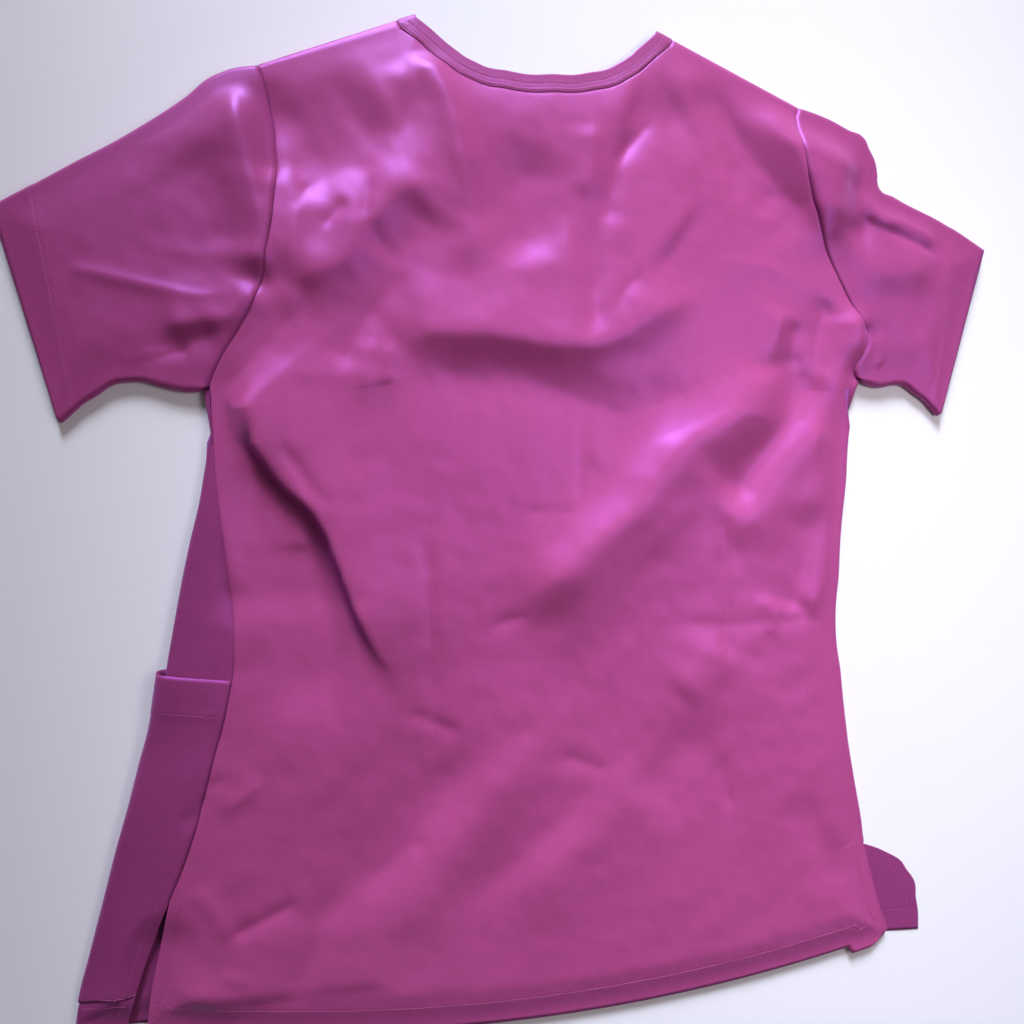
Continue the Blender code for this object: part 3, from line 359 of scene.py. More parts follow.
# The folds in the upper cloth. height is negative for a trough; left and right are the half widths of its
# flanks, seen along its line; crisp is lower for a sharper crest; fade_in and fade_out are the shares of
# its length over which its ends run out; line is its crest on the plan; lean is how far that falls to
# the right, where it does.
FOLD_COLUMNS = "height left right crisp fade_in fade_out line lean"
FOLDS = listed(
    FOLD_COLUMNS,
    # long diagonal ridge over the right shoulder blade
    (12, 19, 34, 1.4, 0.2, 0.15,
     ((-26, 262), (-2, 285), (18, 303), (38, 321), (58, 335), (80, 363), (100, 384), (125, 397),
      (150, 414), (178, 440))),
    # valley beyond it
    (-8, 28, 13, 1.3, 0.2, 0.15,
     ((126, 336), (141, 351), (160, 375), (176, 396), (191, 420), (206, 437))),
    # and its lesser neighbour
    (5, 16, 22, 1.5, 0.2, 0.2, ((126, 318), (146, 333), (160, 350), (180, 375), (195, 388), (208, 410))),
    # wedge at the right of the waist
    (5, 13, 10, 1.3, 0.15, 0.3, ((185, 258), (204, 280), (209, 310), (209, 345), (207, 380))),
    # ridge beside the right armhole
    (6, 15, 8, 1.5, 0.3, 0.2, ((222, 395), (227, 420), (230, 450), (229, 486))),
    (-4, 13, 9, 1.3, 0.3, 0.2, ((201, 424), (202, 440), (205, 465), (213, 488))),
    # ridge from the right shoulder down on to the armhole
    (8, 15, 30, 1.2, 0.35, 0.2,
     ((218, 510), (211, 526), (203, 544), (194, 563), (185, 581), (176, 598), (168, 615), (157, 634))),
    # and the valley at its foot
    (-5, 26, 13, 1.4, 0.2, 0.2,
     ((202, 528), (186, 548), (167, 567), (150, 586), (138, 602), (124, 625), (112, 645))),
    # hollow under the right end of the neckband
    (-4, 26, 22, 1.6, 0.3, 0.3, ((56, 614), (80, 611), (106, 618))),
    # ridge across under the shoulder blades
    (8, 30, 16, 1.3, 0.15, 0.2,
     ((-100, 446), (-80, 456), (-55, 458), (-20, 456), (20, 452), (45, 456), (64, 466), (88, 479),
      (116, 487))),
    # and the valley below it
    (-4, 18, 24, 1.6, 0.2, 0.2,
     ((-100, 432), (-50, 430), (0, 424), (30, 412), (58, 404), (86, 414), (112, 440))),
    # ridge down from the left of the neck
    (7, 22, 12, 1.25, 0.35, 0.15,
     ((-50, 535), (-52, 556), (-56, 585), (-62, 605), (-69, 625), (-75, 642))),
    # which turns out to the armhole
    (7, 28, 15, 1.3, 0.15, 0.3,
     ((-166, 486), (-150, 494), (-135, 500), (-125, 509), (-120, 521), (-108, 531), (-98, 542),
      (-82, 552), (-56, 562))),
    # bowl at the left shoulder blade
    (-6, 40, 24, 2, 0.3, 0.3, ((-170, 560), (-130, 580), (-96, 600))),
    (-3, 24, 26, 2, 0.3, 0.3, ((-110, 500), (-92, 520), (-74, 545))),
    (3, 24, 10, 1.4, 0.3, 0.4, ((-42, 496), (-47, 520), (-51, 545), (-53, 570))),
    # hollow down the middle
    (-5, 22, 24, 2, 0.3, 0.3, ((-4, 500), (-10, 540), (-6, 590))),
    # crown of the left sleeve
    (7, 26, 9, 1.25, 0.15, 0.15,
     ((-182, 486), (-180, 505), (-180, 525), (-184, 543), (-187, 560), (-191, 580), (-196, 600),
      (-199, 616))),
    # with a hollow next to the seam
    (-5, 9, 10, 1.5, 0.2, 0.2, ((-176, 548), (-174, 572), (-175, 598), (-181, 620))),
    (-4, 30, 18, 1.6, 0.3, 0.3, ((-196, 492), (-203, 515), (-206, 535), (-218, 556), (-232, 576))),
    # ridge across the left sleeve
    (4.5, 14, 9, 1.3, 0.2, 0.2, ((-244, 459), (-215, 463), (-200, 466), (-191, 474), (-181, 488))),
    (-3, 9, 9, 1.4, 0.25, 0.25, ((-256, 444), (-230, 450), (-204, 459))),
    # crown of the right sleeve
    (5, 26, 20, 1.7, 0.35, 0.35,
     ((214, 522), (210, 545), (209, 565), (212, 580), (218, 594), (226, 606))),
    # and the hollow beyond it
    (-5, 20, 9, 1.5, 0.35, 0.35, ((231, 515), (238, 540), (238, 562), (236, 590))),
    # small fold at the right sleeve's edge
    (6, 7, 10, 1.4, 0.2, 0.2, ((300, 530), (264, 544), (250, 546), (245, 552), (244, 563), (247, 572))),
    (4, 18, 14, 1.7, 0.3, 0.3, ((228, 500), (262, 508), (296, 506))),
    # the slack at the left, which falls over on itself
    (11, 46, 7, 1.25, 0.08, 0.35,
     ((-208, 420), (-197, 409), (-186, 395), (-175, 379), (-164, 363), (-152, 352), (-141, 337),
      (-132, 315), (-125, 295), (-118, 274), (-106, 244), (-88, 212)), 7),
    # hollow under it
    (-8, 40, 16, 1.7, 0.3, 0.2,
     ((-140, 190), (-148, 240), (-155, 290), (-166, 330), (-182, 365), (-200, 392))),
    # long valley down to the hem
    (-5, 44, 15, 1.5, 0.3, 0.3,
     ((-150, 58), (-139, 83), (-115, 102), (-92, 128), (-66, 160), (-45, 197))),
    (3.5, 20, 24, 1.8, 0.3, 0.3, ((-112, 40), (-90, 80), (-66, 112), (-44, 140), (-20, 168), (2, 190))),
    (-2.5, 26, 14, 1.6, 0.3, 0.3, ((-72, 58), (-40, 88), (-10, 112), (15, 138), (35, 160))),
    (3, 18, 28, 1.8, 0.3, 0.3, ((-30, 52), (0, 85), (30, 115), (60, 150), (84, 176))),
    (-3, 20, 24, 1.8, 0.3, 0.3, ((60, 128), (90, 160), (118, 190))),
    (3, 18, 26, 1.8, 0.3, 0.3, ((92, 205), (110, 226), (126, 250))),
    (-3.5, 13, 10, 1.3, 0.3, 0.3, ((-180, 14), (-163, 40), (-157, 60), (-148, 80), (-136, 100))),
    (-2.5, 16, 14, 1.8, 0.3, 0.3, ((240, 48), (215, 78), (198, 105), (180, 138))),
)
# Soft creases that are too slight for the solids
CREASES = listed(
    FOLD_COLUMNS,
    # wedge at the right of the waist
    (-3.5, 18, 11, 1.2, 0.1, 0.3, ((180, 262), (187, 282), (196, 312), (205, 345))),
    (2.5, 12, 8, 1.4, 0.3, 0.3, ((166, 438), (168, 460), (176, 482))),
    (-2.6, 8, 10, 1.3, 0.3, 0.3, ((187, 434), (184, 450), (187, 474))),
    # crumples over the right shoulder blade
    (-1.2, 6, 8, 1.5, 0.3, 0.3, ((139, 552), (139, 584))),
    (-1.2, 7, 9, 1.5, 0.3, 0.3, ((160, 542), (166, 566))),
    (0.8, 5, 5, 1.5, 0.3, 0.3, ((118, 509), (150, 509), (186, 500))),
    # creases down the middle
    (2.6, 12, 7, 1.2, 0.25, 0.25, ((33, 548), (34, 562), (36, 582), (37, 602))),
    (-2.4, 8, 8, 1.3, 0.2, 0.2, ((44, 530), (50, 560), (56, 578), (68, 600))),
    (-1.6, 5, 5, 1.3, 0.2, 0.2, ((50, 572), (63, 589), (80, 607))),
    (1.6, 9, 7, 1.3, 0.3, 0.3, ((25, 455), (20, 500), (18, 530), (20, 550))),
    (-2.4, 8, 8, 1.2, 0.25, 0.25, ((35, 452), (36, 490), (38, 520), (36, 548))),
    (1.6, 6, 8, 1.3, 0.3, 0.3, ((47, 460), (46, 490), (44, 520), (42, 540))),
    (2.4, 20, 9, 1.5, 0.3, 0.3, ((58, 502), (78, 516), (94, 535), (109, 558))),
    (-1.8, 9, 12, 1.5, 0.3, 0.3, ((68, 499), (88, 512), (103, 530), (119, 557))),
    (-1.4, 5, 6, 1.3, 0.3, 0.3, ((47, 468), (56, 488), (72, 502))),
    (-3.0, 24, 12, 1.3, 0.2, 0.2,
     ((-131, 428), (-128, 445), (-122, 458), (-113, 472), (-102, 486), (-86, 498))),
    (1.8, 7, 4, 1.3, 0.25, 0.3, ((-116, 416), (-116, 438), (-110, 456))),
    (2.2, 9, 5, 1.3, 0.25, 0.3, ((-101, 422), (-103, 440), (-93, 451))),
    (-2.0, 10, 9, 1.4, 0.3, 0.2, ((-96, 575), (-88, 592), (-81, 614), (-77, 634))),
    (-2.2, 14, 10, 1.4, 0.2, 0.3, ((-166, 546), (-148, 550), (-138, 557), (-122, 562), (-104, 571))),
    (-2.0, 5, 4, 1.2, 0.3, 0.3, ((-144, 521), (-136, 531), (-127, 542))),
    (-1.4, 4, 4, 1.2, 0.3, 0.3, ((-118, 527), (-114, 545), (-112, 558))),
    (-1.4, 4, 4, 1.2, 0.3, 0.3, ((-160, 532), (-150, 553))),
    (3.0, 11, 8, 1.3, 0.2, 0.2, ((-164, 460), (-163, 490), (-160, 520), (-156, 540), (-151, 556))),
    # creases of the left sleeve
    (2.0, 4, 4, 1.2, 0.1, 0.2,
     ((-290, 558), (-258, 568), (-240, 574), (-226, 582), (-213, 592), (-199, 608))),
    (1.6, 4, 5, 1.2, 0.1, 0.3, ((-296, 494), (-260, 486), (-240, 482), (-216, 478), (-196, 481))),
    (-2.2, 4, 4, 1.2, 0.2, 0.2, ((-256, 434), (-240, 441), (-224, 445))),
    (1.2, 4, 4, 1.2, 0.2, 0.2, ((-270, 436), (-252, 440), (-238, 446))),
    # creases of the right sleeve
    (-3.6, 5, 5, 1.2, 0.15, 0.2, ((234, 549), (244, 543), (264, 536), (300, 520))),
    (1.6, 5, 4, 1.3, 0.2, 0.2, ((238, 437), (246, 441), (254, 444))),
    (-1.8, 3.5, 3.5, 1.2, 0.2, 0.2, ((249, 442), (262, 429))),
    (-1.6, 3.5, 3.5, 1.2, 0.2, 0.2, ((236, 471), (247, 458))),
    # lines beside the overfall
    (-1.3, 4, 3, 1.2, 0.25, 0.25, ((-131, 344), (-142, 356), (-155, 373), (-170, 396))),
    (-1.0, 3, 3, 1.2, 0.3, 0.3, ((-146, 350), (-160, 378), (-168, 390))),
    (-1.6, 4, 3, 1.2, 0.25, 0.25, ((-139, 409), (-122, 412), (-105, 419))),
    (2.6, 10, 8, 1.4, 0.3, 0.3, ((-163, 314), (-162, 330), (-156, 344))),
    # ridge along the left side seam
    (1.8, 5, 6, 1.3, 0.2, 0.3, ((-201, 285), (-205, 310), (-210, 345), (-215, 376), (-212, 396))),
    (-1.8, 6, 5, 1.3, 0.3, 0.3, ((-203, 262), (-209, 300), (-213, 335))),
    # small creases of the back
    (1.3, 6, 6, 1.5, 0.3, 0.3, ((36, 362), (37, 388), (36, 414))),
    (-1.2, 4, 4, 1.3, 0.2, 0.2, ((-40, 261), (-25, 266), (-12, 270))),
    (-0.8, 3, 3, 1.3, 0.2, 0.2, ((-15, 339), (24, 338))),
    (-0.8, 3, 3, 1.3, 0.2, 0.2, ((24, 338), (25, 396))),
    (-0.6, 4, 3, 1.2, 0.3, 0.3, ((72, 262), (110, 257), (150, 256), (214, 258))),
    (1.2, 4, 3, 1.2, 0.2, 0.2, ((161, 247), (166, 258), (156, 276))),
    (-1.4, 4, 3.5, 1.2, 0.1, 0.2, ((184, 262), (200, 256), (217, 238))),
    (-1.2, 3.5, 3, 1.2, 0.1, 0.2, ((186, 264), (200, 267), (218, 252))),
    (-1.6, 6, 4, 1.2, 0.3, 0.3, ((-56, 189), (-75, 199), (-99, 209))),
    (-1.0, 3, 3, 1.2, 0.3, 0.3, ((-222, 164), (-212, 175))),
    (-1.2, 3.5, 3, 1.2, 0.3, 0.3, ((-241, 142), (-228, 154), (-221, 166))),
    (1.2, 4, 4, 1.2, 0.3, 0.3, ((-216, 152), (-202, 159), (-186, 173))),
    (-2.4, 6, 5, 1.2, 0.15, 0.25, ((-211, 69), (-190, 77), (-164, 89))),
    (1.6, 6, 6, 1.3, 0.2, 0.2, ((-210, 68), (-221, 88), (-232, 106))),
    (1.0, 3, 3, 1.3, 0.3, 0.3, ((-217, 47), (-208, 42), (-198, 39))),
    (2.4, 10, 12, 1.4, 0.2, 0.3, ((-206, 10), (-222, 27), (-240, 37), (-258, 41))),
    (-1.2, 5, 4, 1.3, 0.3, 0.3, ((-90, 110), (-86, 122))),
    (-1.4, 5, 4, 1.3, 0.2, 0.3, ((46, 156), (25, 165), (4, 173))),
    (-2.0, 3.5, 3.5, 1.2, 0.3, 0.3, ((136, 119), (131, 132), (128, 146), (126, 165))),
)
# The fisheye darts of the back, along the line that each is stitched on
DARTS = listed(
    FOLD_COLUMNS,
    (-1.6, 5, 5, 2, 0.3, 0.3, ((-79, 350), (-77.5, 300), (-76.5, 258), (-77, 210), (-77, 165))),
    (-1.6, 5, 5, 2, 0.3, 0.3, ((124, 384), (127, 320), (130, 250), (130, 180), (128, 117))),
)


def through(stations, values, at):
    """A smooth curve through the values at the stations, read at some places."""
    at = np.asarray(at, float)
    step = np.diff(stations)
    slope = np.diff(values) / step
    middle = (slope[:-1] * step[1:] + slope[1:] * step[:-1]) / (step[1:] + step[:-1])
    tangent = np.concatenate([slope[:1], middle, slope[-1:]])
    i = np.clip(np.searchsorted(stations, at) - 1, 0, len(step) - 1)
    t = np.clip((at - stations[i]) / step[i], 0, 1)
    start = values[i] + step[i] * t * tangent[i]
    end = values[i + 1] - step[i] * (1 - t) * tangent[i + 1]
    ease = smoothstep(t)
    return start * (1 - ease) + end * ease


def curve(points, shares):
    """Points at the given shares of the length of a smooth curve through the points."""
    points = np.asarray(points, float)
    along = run_lengths(points)
    at = np.asarray(shares, float) * along[-1]
    return np.stack([through(along, points[:, 0], at), through(along, points[:, 1], at)], -1)


def plan_of(named):
    """A table's x and y as plan points."""
    return np.stack([named["x"], named["y"]], -1)


def smoothstep(t):
    t = np.clip(t, 0, 1)
    return t * t * (3 - 2 * t)


def side(named, column, y):
    return through(named["height"], named[column], np.clip(y, named["height"][0], named["height"][-1]))


def roll_radius(rim, low):
    return (rim - low) / 2


def hem(x):
    """The back's hem on the plan."""
    return HEM_LOW + HEM_CURVE * (x - HEM_CENTRE) ** 2


def front_hem(x):
    return through(FRONT_HEM["x"], FRONT_HEM["y"], x)


# ---------------------------------------------------------------- the lower layer and its folds


def pocket_share(x, y):
    """1 over the pocket, running out to 0 round it."""
    aside = (x - POCKET_INNER_EDGE - POCKET_CLEAR) / POCKET_RAMP
    above = (y - POCKET_TOP - POCKET_CLEAR) / POCKET_RAMP
    below = (POCKET_FOOT - y - FOOT_CLEAR) / FOOT_RAMP
    return 1 - smoothstep(np.maximum(np.maximum(aside, above), below))


def floor_height(x, y):
    """The middle of the front's lower layer, which climbs over the pocket."""
    return LOWEST + POCKET_STEP * pocket_share(x, y)


def left_tangent(y):
    """Where the front leaves the table to turn over at the left, with the roll's radius there."""
    folded = side(LEFT_SIDE, "folded", y)
    radius = roll_radius(side(LEFT_SIDE, "rim", y), floor_height(folded, y))
    return folded + radius, radius


def left_seam_in(y):
    """How far in from the left fold the side seam lies, on top."""
    return np.maximum(side(LEFT_SIDE, "seam", y), left_tangent(y)[1] + LEAST_UNDER)


def front_edge_over(y):
    """How far past its roll the front ends on top at the left: in the side seam, or at the vent's edge."""
    tangent, radius = left_tangent(y)
    vent = float(side(FRONT_VENT_LEFT, "x", y)) - float(tangent)
    seam = float(left_seam_in(y)) - float(radius)
    return (vent if y < VENT_LEFT else seam) - SEAM_GAP / 2


def right_tangent(y):
    """Where the back leaves its upper layer to turn under at the right, with the roll's radius there."""
    radius = roll_radius(side(RIGHT_SIDE, "rim", y), LOWEST)
    return side(RIGHT_SIDE, "folded", y) - radius, radius


def shoulder(named):
    """A shoulder's tangent line: its neck end and tip, the direction out over it, and both radii."""
    neck, tip = np.array(named["neck"]), np.array(named["tip"])
    along = (tip - neck) / np.linalg.norm(tip - neck)
    out = np.array([-along[1], along[0]]) * np.sign(along[0])
    radii = roll_radius(EDGE_HEIGHT_NECK, LOWEST), roll_radius(EDGE_HEIGHT_SLEEVE, LOWEST)
    return {
        "neck": neck - out * radii[0],
        "tip": tip - out * radii[1],
        "along": along,
        "out": out,
        "radii": radii,
        "length": np.linalg.norm(tip - neck),
    }


SHOULDERS = {"left": shoulder(LEFT_SHOULDER), "right": shoulder(RIGHT_SHOULDER)}


def shoulder_radius(line, points):
    share = np.clip((points - line["neck"]) @ line["along"] / line["length"], 0, 1)
    return line["radii"][0] + (line["radii"][1] - line["radii"][0]) * share


def beyond_shoulder(line, points):
    """How far the points lie past the shoulder's tangent line."""
    across = line["tip"] - line["neck"]
    out = np.array([-across[1], across[0]]) * np.sign(across[0]) / np.linalg.norm(across)
    return (points - line["neck"]) @ out


# ---------------------------------------------------------------- sleeves on the plan


def sleeve_edges(top, foot, line, side_sign, underarm):
    """A sleeve's two fold lines at its stations: plan points of the tangents, directions out, radii."""
    shares = np.array(SLEEVE_STATIONS)
    rims = EDGE_HEIGHT_SLEEVE + (EDGE_HEIGHT_CUFF - EDGE_HEIGHT_SLEEVE) * shares
    radii = roll_radius(rims, LOWEST)
    edges = {}
    for name, fold, turn in (("top", top, side_sign), ("foot", foot, -side_sign)):
        outline, ahead, behind = (
            curve(plan_of(fold), np.clip(shares + shift, 0, 1)) for shift in (0, SLOPE_SPAN, -SLOPE_SPAN)
        )
        along = unit(ahead - behind)
        out = np.stack([-along[:, 1], along[:, 0]], -1) * turn
        edges[name] = {"out": out, "radius": radii, "tangent": outline - out * radii[:, None]}
    edges["top"]["out"][0] = line["out"]
    edges["top"]["tangent"][0] = line["tip"]
    tangent = left_tangent if side_sign < 0 else right_tangent
    edges["foot"]["tangent"][0] = (float(tangent(underarm)[0]), underarm)
    edges["foot"]["out"][0] = (side_sign, 0)
    corner = edges["foot"]["tangent"][1] + edges["foot"]["out"][1] * radii[1]
    edges["foot"]["out"][1] = np.array([side_sign, -1]) * math.sqrt(0.5)
    edges["foot"]["tangent"][1] = corner - edges["foot"]["out"][1] * radii[1]
    return edges


SLEEVES = {
    "left": sleeve_edges(LEFT_SLEEVE_TOP, LEFT_SLEEVE_FOOT, SHOULDERS["left"], -1, UNDERARM_LEFT),
    "right": sleeve_edges(RIGHT_SLEEVE_TOP, RIGHT_SLEEVE_FOOT, SHOULDERS["right"], 1, UNDERARM_RIGHT),
}


def shoulder_seam(line):
    """The end of the shoulder seam, which lies underneath the shoulder's tip."""
    return line["tip"] - line["out"] * (SHOULDER_UNDERLAP + SEAM_GAP)


def armhole(which):
    """The armhole's rows on the plan, from the underarm to the shoulder's tangent.
    The last but one is where the shoulder seam lies underneath."""
    line = SHOULDERS[which]
    outline = plan_of(LEFT_ARMHOLE if which == "left" else RIGHT_ARMHOLE)
    start = SLEEVES[which]["foot"]["tangent"][0]
    outline = np.concatenate([[start], outline, [shoulder_seam(line)]])
    return np.concatenate([curve(outline, np.linspace(0, 1, ROWS_ARMHOLE + 1)), [line["tip"]]])


# ---------------------------------------------------------------- height of the upper layer


def pinned_edges():
    """Fold lines and free edges as runs of (x, y, height): the cloth's upper layer comes down to them."""
    runs = []
    hem_left = BACK_VENT_LEFT["height"][0]
    for which, tangent, named, low, high in (
        ("left", left_tangent, LEFT_SIDE, hem_left, UNDERARM_LEFT),
        ("right", right_tangent, RIGHT_SIDE, VENT_RIGHT, UNDERARM_RIGHT),
    ):
        y = np.linspace(low, high, PIN_SAMPLES)
        runs.append(np.stack([tangent(y)[0], y, side(named, "rim", y)], -1))
        edges = SLEEVES[which]
        heights = 2 * edges["top"]["radius"] + LOWEST
        for name in ("top", "foot"):
            runs.append(np.column_stack([edges[name]["tangent"], heights]))
        cuff = np.stack([edges["top"]["tangent"][-1], edges["foot"]["tangent"][-1]])
        runs.append(np.column_stack([cuff, [EDGE_HEIGHT_CUFF] * 2]))
        line = SHOULDERS[which]
        ends = np.stack([line["neck"], line["tip"]])
        runs.append(np.column_stack([ends, [EDGE_HEIGHT_NECK, EDGE_HEIGHT_SLEEVE]]))
    neck = curve(plan_of(NECKLINE), np.linspace(0, 1, PIN_SAMPLES))
    runs.append(np.column_stack([neck, [EDGE_HEIGHT_NECK] * PIN_SAMPLES]))
    x = np.linspace(left_tangent(hem_left)[0], BACK_VENT_RIGHT["x"][0], PIN_SAMPLES)
    runs.append(np.column_stack([x, hem(x), [EDGE_HEIGHT_HEM] * PIN_SAMPLES]))
    below_top = {name: values[:-1] for name, values in BACK_VENT_LEFT.items()}
    for vent, top in ((BACK_VENT_RIGHT, RIGHT_SIDE["rim"][0]), (below_top, VENT_EDGE_HEIGHT)):
        rims = np.linspace(EDGE_HEIGHT_HEM, top, len(vent["x"]))
        runs.append(np.column_stack([vent["x"], vent["height"], rims]))
    return runs


PINNED = pinned_edges()


def nearest_edge(x, y):
    """The distance from each place to the nearest pinned edge, and the height there."""
    best = np.full(x.shape, np.inf)
    height = np.zeros(x.shape)
    for run in PINNED:
        for start, end in zip(run[:-1], run[1:]):
            step = end[:2] - start[:2]
            t = ((x - start[0]) * step[0] + (y - start[1]) * step[1]) / max(step @ step, TINY)
            t = np.clip(t, 0, 1)
            distance = np.hypot(x - start[0] - t * step[0], y - start[1] - t * step[1])
            nearer = distance < best
            best = np.where(nearer, distance, best)
            height = np.where(nearer, start[2] + t * (end[2] - start[2]), height)
    return best, height


def beside_line(line, x, y):
    """How far along a line each place lies, as a share, how far to its left, and the line's direction."""
    points = curve(line, np.linspace(0, 1, max(int(fold_length(line) / FOLD_STEP), 3) + 1))
    step = np.diff(points, axis=0)
    size = np.linalg.norm(step, axis=1)
    along = np.concatenate([[0], np.cumsum(size)]) / np.sum(size)
    best = np.full(x.shape, np.inf)
    share, off = np.zeros(x.shape), np.zeros(x.shape)
    ahead = np.zeros((*x.shape, 2))
    for k, (start, way) in enumerate(zip(points, step / size[:, None])):
        dx, dy = x - start[0], y - start[1]
        t = np.clip(dx * way[0] + dy * way[1], 0, size[k])
        distance = np.hypot(dx - t * way[0], dy - t * way[1])
        nearer = distance < best
        best = np.where(nearer, distance, best)
        share = np.where(nearer, along[k] + (along[k + 1] - along[k]) * t / size[k], share)
        off = np.where(nearer, distance * np.sign(dy * way[0] - dx * way[1]), off)
        ahead[nearer] = way
    return share, off, ahead


def fold_length(line):
    """The sum of the straight pieces between a fold's points."""
    return np.sum(np.linalg.norm(np.diff(np.array(line, float), axis=0), axis=1))


def each_fold(folds, x, y):
    """Each fold with the places near it and its share there: 1 on its crest, running out to 0 round it."""
    for fold in folds:
        reach = FOLD_REACH * max(fold["left"], fold["right"])
        low, high = np.min(fold["line"], axis=0) - reach, np.max(fold["line"], axis=0) + reach
        near = (x > low[0]) & (x < high[0]) & (y > low[1]) & (y < high[1])
        if not near.any():
            continue
        t, off, ahead = beside_line(fold["line"], x[near], y[near])
        run = smoothstep(t / fold["fade_in"]) * smoothstep((1 - t) / fold["fade_out"])
        out = (off / np.where(off > 0, fold["left"], fold["right"])) ** 2
        form = np.exp(CREST_ROUND ** (fold["crisp"] / 2) - (out + CREST_ROUND) ** (fold["crisp"] / 2))
        yield fold, near, ahead, run * form


def folds_height(folds, x, y):
    """The sum of the folds' heights at some places."""
    total = np.zeros(np.shape(x))
    for fold, near, _, share in each_fold(folds, x, y):
        total[near] += fold["height"] * share
    return total


def ripple(x, y):
    """The slight unevenness of cloth that has been worn, as a sum of small waves."""
    total = np.zeros(np.shape(x))
    for across, up, turn in RIPPLES:
        total += np.sin(x * across + y * up + turn)
    return total / math.sqrt(len(RIPPLES) / 2)


def top_height(x, y):
    """The middle of the uppermost layer of cloth over a place on the plan."""
    distance, rim = nearest_edge(x, y)
    inside = smoothstep(distance / RIM_WIDTH)
    loft = BILLOW + folds_height(FOLDS, x, y)
    # a trough that would go through the front flattens out on it
    loft = (loft + np.sqrt(loft**2 + 1)) / 2 + folds_height(DARTS, x, y) * inside
    loft = loft + (folds_height(CREASES, x, y) + RIPPLE * ripple(x, y)) * smoothstep(distance / CREASE_RIM)
    resting = floor_height(x, y) + BACK_OVER_FRONT + np.maximum(loft, 0)
    return rim + (resting - rim) * inside


def leaning(plan):
    """Carries the crests of the folds that fall over sideways, as they lie."""
    x, y = plan[:, 0], plan[:, 1]
    inside = smoothstep(nearest_edge(x, y)[0] / RIM_WIDTH)
    moved = plan.copy()
    falling = [fold for fold in FOLDS if "lean" in fold]
    for fold, near, ahead, share in each_fold(falling, x, y):
        fall = (fold["lean"] * share * inside[near])[:, None]
        moved[near] += fall * np.stack([ahead[:, 1], -ahead[:, 0]], -1)
    return moved


def roll(past, radius, tangent, out, high, low):
    """Points at distances past a tangent, rolled round a half circle from height high to low."""
    angle = np.clip(past / radius, 0, math.pi)
    plan = radius * np.sin(angle) - np.maximum(past - math.pi * radius, 0)
    share = (1 - np.cos(angle)) / 2
    return tangent + out * plan[:, None], high + (low - high) * share


def back_surface(points):
    """The back's flat plan laid in place: under at the right side and over both shoulders."""
    x, y = points[:, 0], points[:, 1]
    plan = points.copy()
    z = np.zeros(len(points))
    tangent, radius = right_tangent(y)
    past = np.where((y > VENT_RIGHT) & (y < UNDERARM_RIGHT + FAN_STEP / 2), x - tangent, -1.0)
    rolled = past > 0
    start = np.stack([tangent, y], -1)
    moved, height = roll(past, radius, start, np.array([1.0, 0.0]), LOWEST + 2 * radius, LOWEST)
    plan[rolled], z[rolled] = moved[rolled], height[rolled]
    for name, line in SHOULDERS.items():
        past = beyond_shoulder(line, points)
        over = (past > 0) & ((x < 0) == (name == "left")) & (y > UNDERARM_RIGHT)
        radius = shoulder_radius(line, points)
        start = points - past[:, None] * line["out"]
        moved, height = roll(past, radius, start, line["out"], LOWEST + 2 * radius, LOWEST)
        plan[over], z[over] = moved[over], height[over]
        rolled = rolled | over
    flat = ~rolled
    z[flat] = top_height(x[flat], y[flat])
    plan[flat] = leaning(points[flat])
    return np.column_stack([plan, z])


def front_surface(points):
    """The front's flat plan laid in place: on the table, and over the top at the left side."""
    x, y = points[:, 0], points[:, 1]
    tangent, radius = left_tangent(y)
    past = tangent - x
    low = floor_height(tangent, y)
    start = np.stack([tangent, y], -1)
    plan, z = roll(past, radius, start, np.array([-1.0, 0.0]), low, low + 2 * radius)
    lying, over = past <= 0, past > math.pi * radius
    plan[lying], z[lying] = points[lying], floor_height(x[lying], y[lying])
    z[over] = top_height(plan[over, 0], y[over])
    plan[over] = leaning(plan[over])
    return np.column_stack([plan, z])


# ---------------------------------------------------------------- grids of plan points


def row_heights(low, vent, underarm):
    """Heights of a side's rows from the hem to the underarm, with the short fan rows at the end."""
    vent_rows = np.linspace(low, vent, ROWS_VENT + 1)
    side_rows = np.linspace(vent, underarm - FAN_REACH, ROWS_SIDE + 1)[1:]
    fan_rows = underarm - FAN_STEP * np.arange(FAN_ROWS, -1, -1)
    return np.concatenate([vent_rows, side_rows, fan_rows])


def strip_row(start, end):
    return start + (end - start) * np.array(STRIP_SHARES)[:, None]


def flat_strip(edge, y, climb):
    """A strip row that lies flat beside the right vent. It follows the hem's curve and rounded corner,
    and less so the further it has climbed up the vent."""
    row = strip_row(np.array([edge - FLAT_STRIP, y]), np.array([edge, y]))
    curl = np.clip(1 - (edge - row[:, 0]) / CORNER_RUN, 0, 1) ** 2
    level = hem(row[:, 0]) + CORNER_RISE * curl
    row[:, 1] += (level - level[-1]) * (1 - climb)
    return row


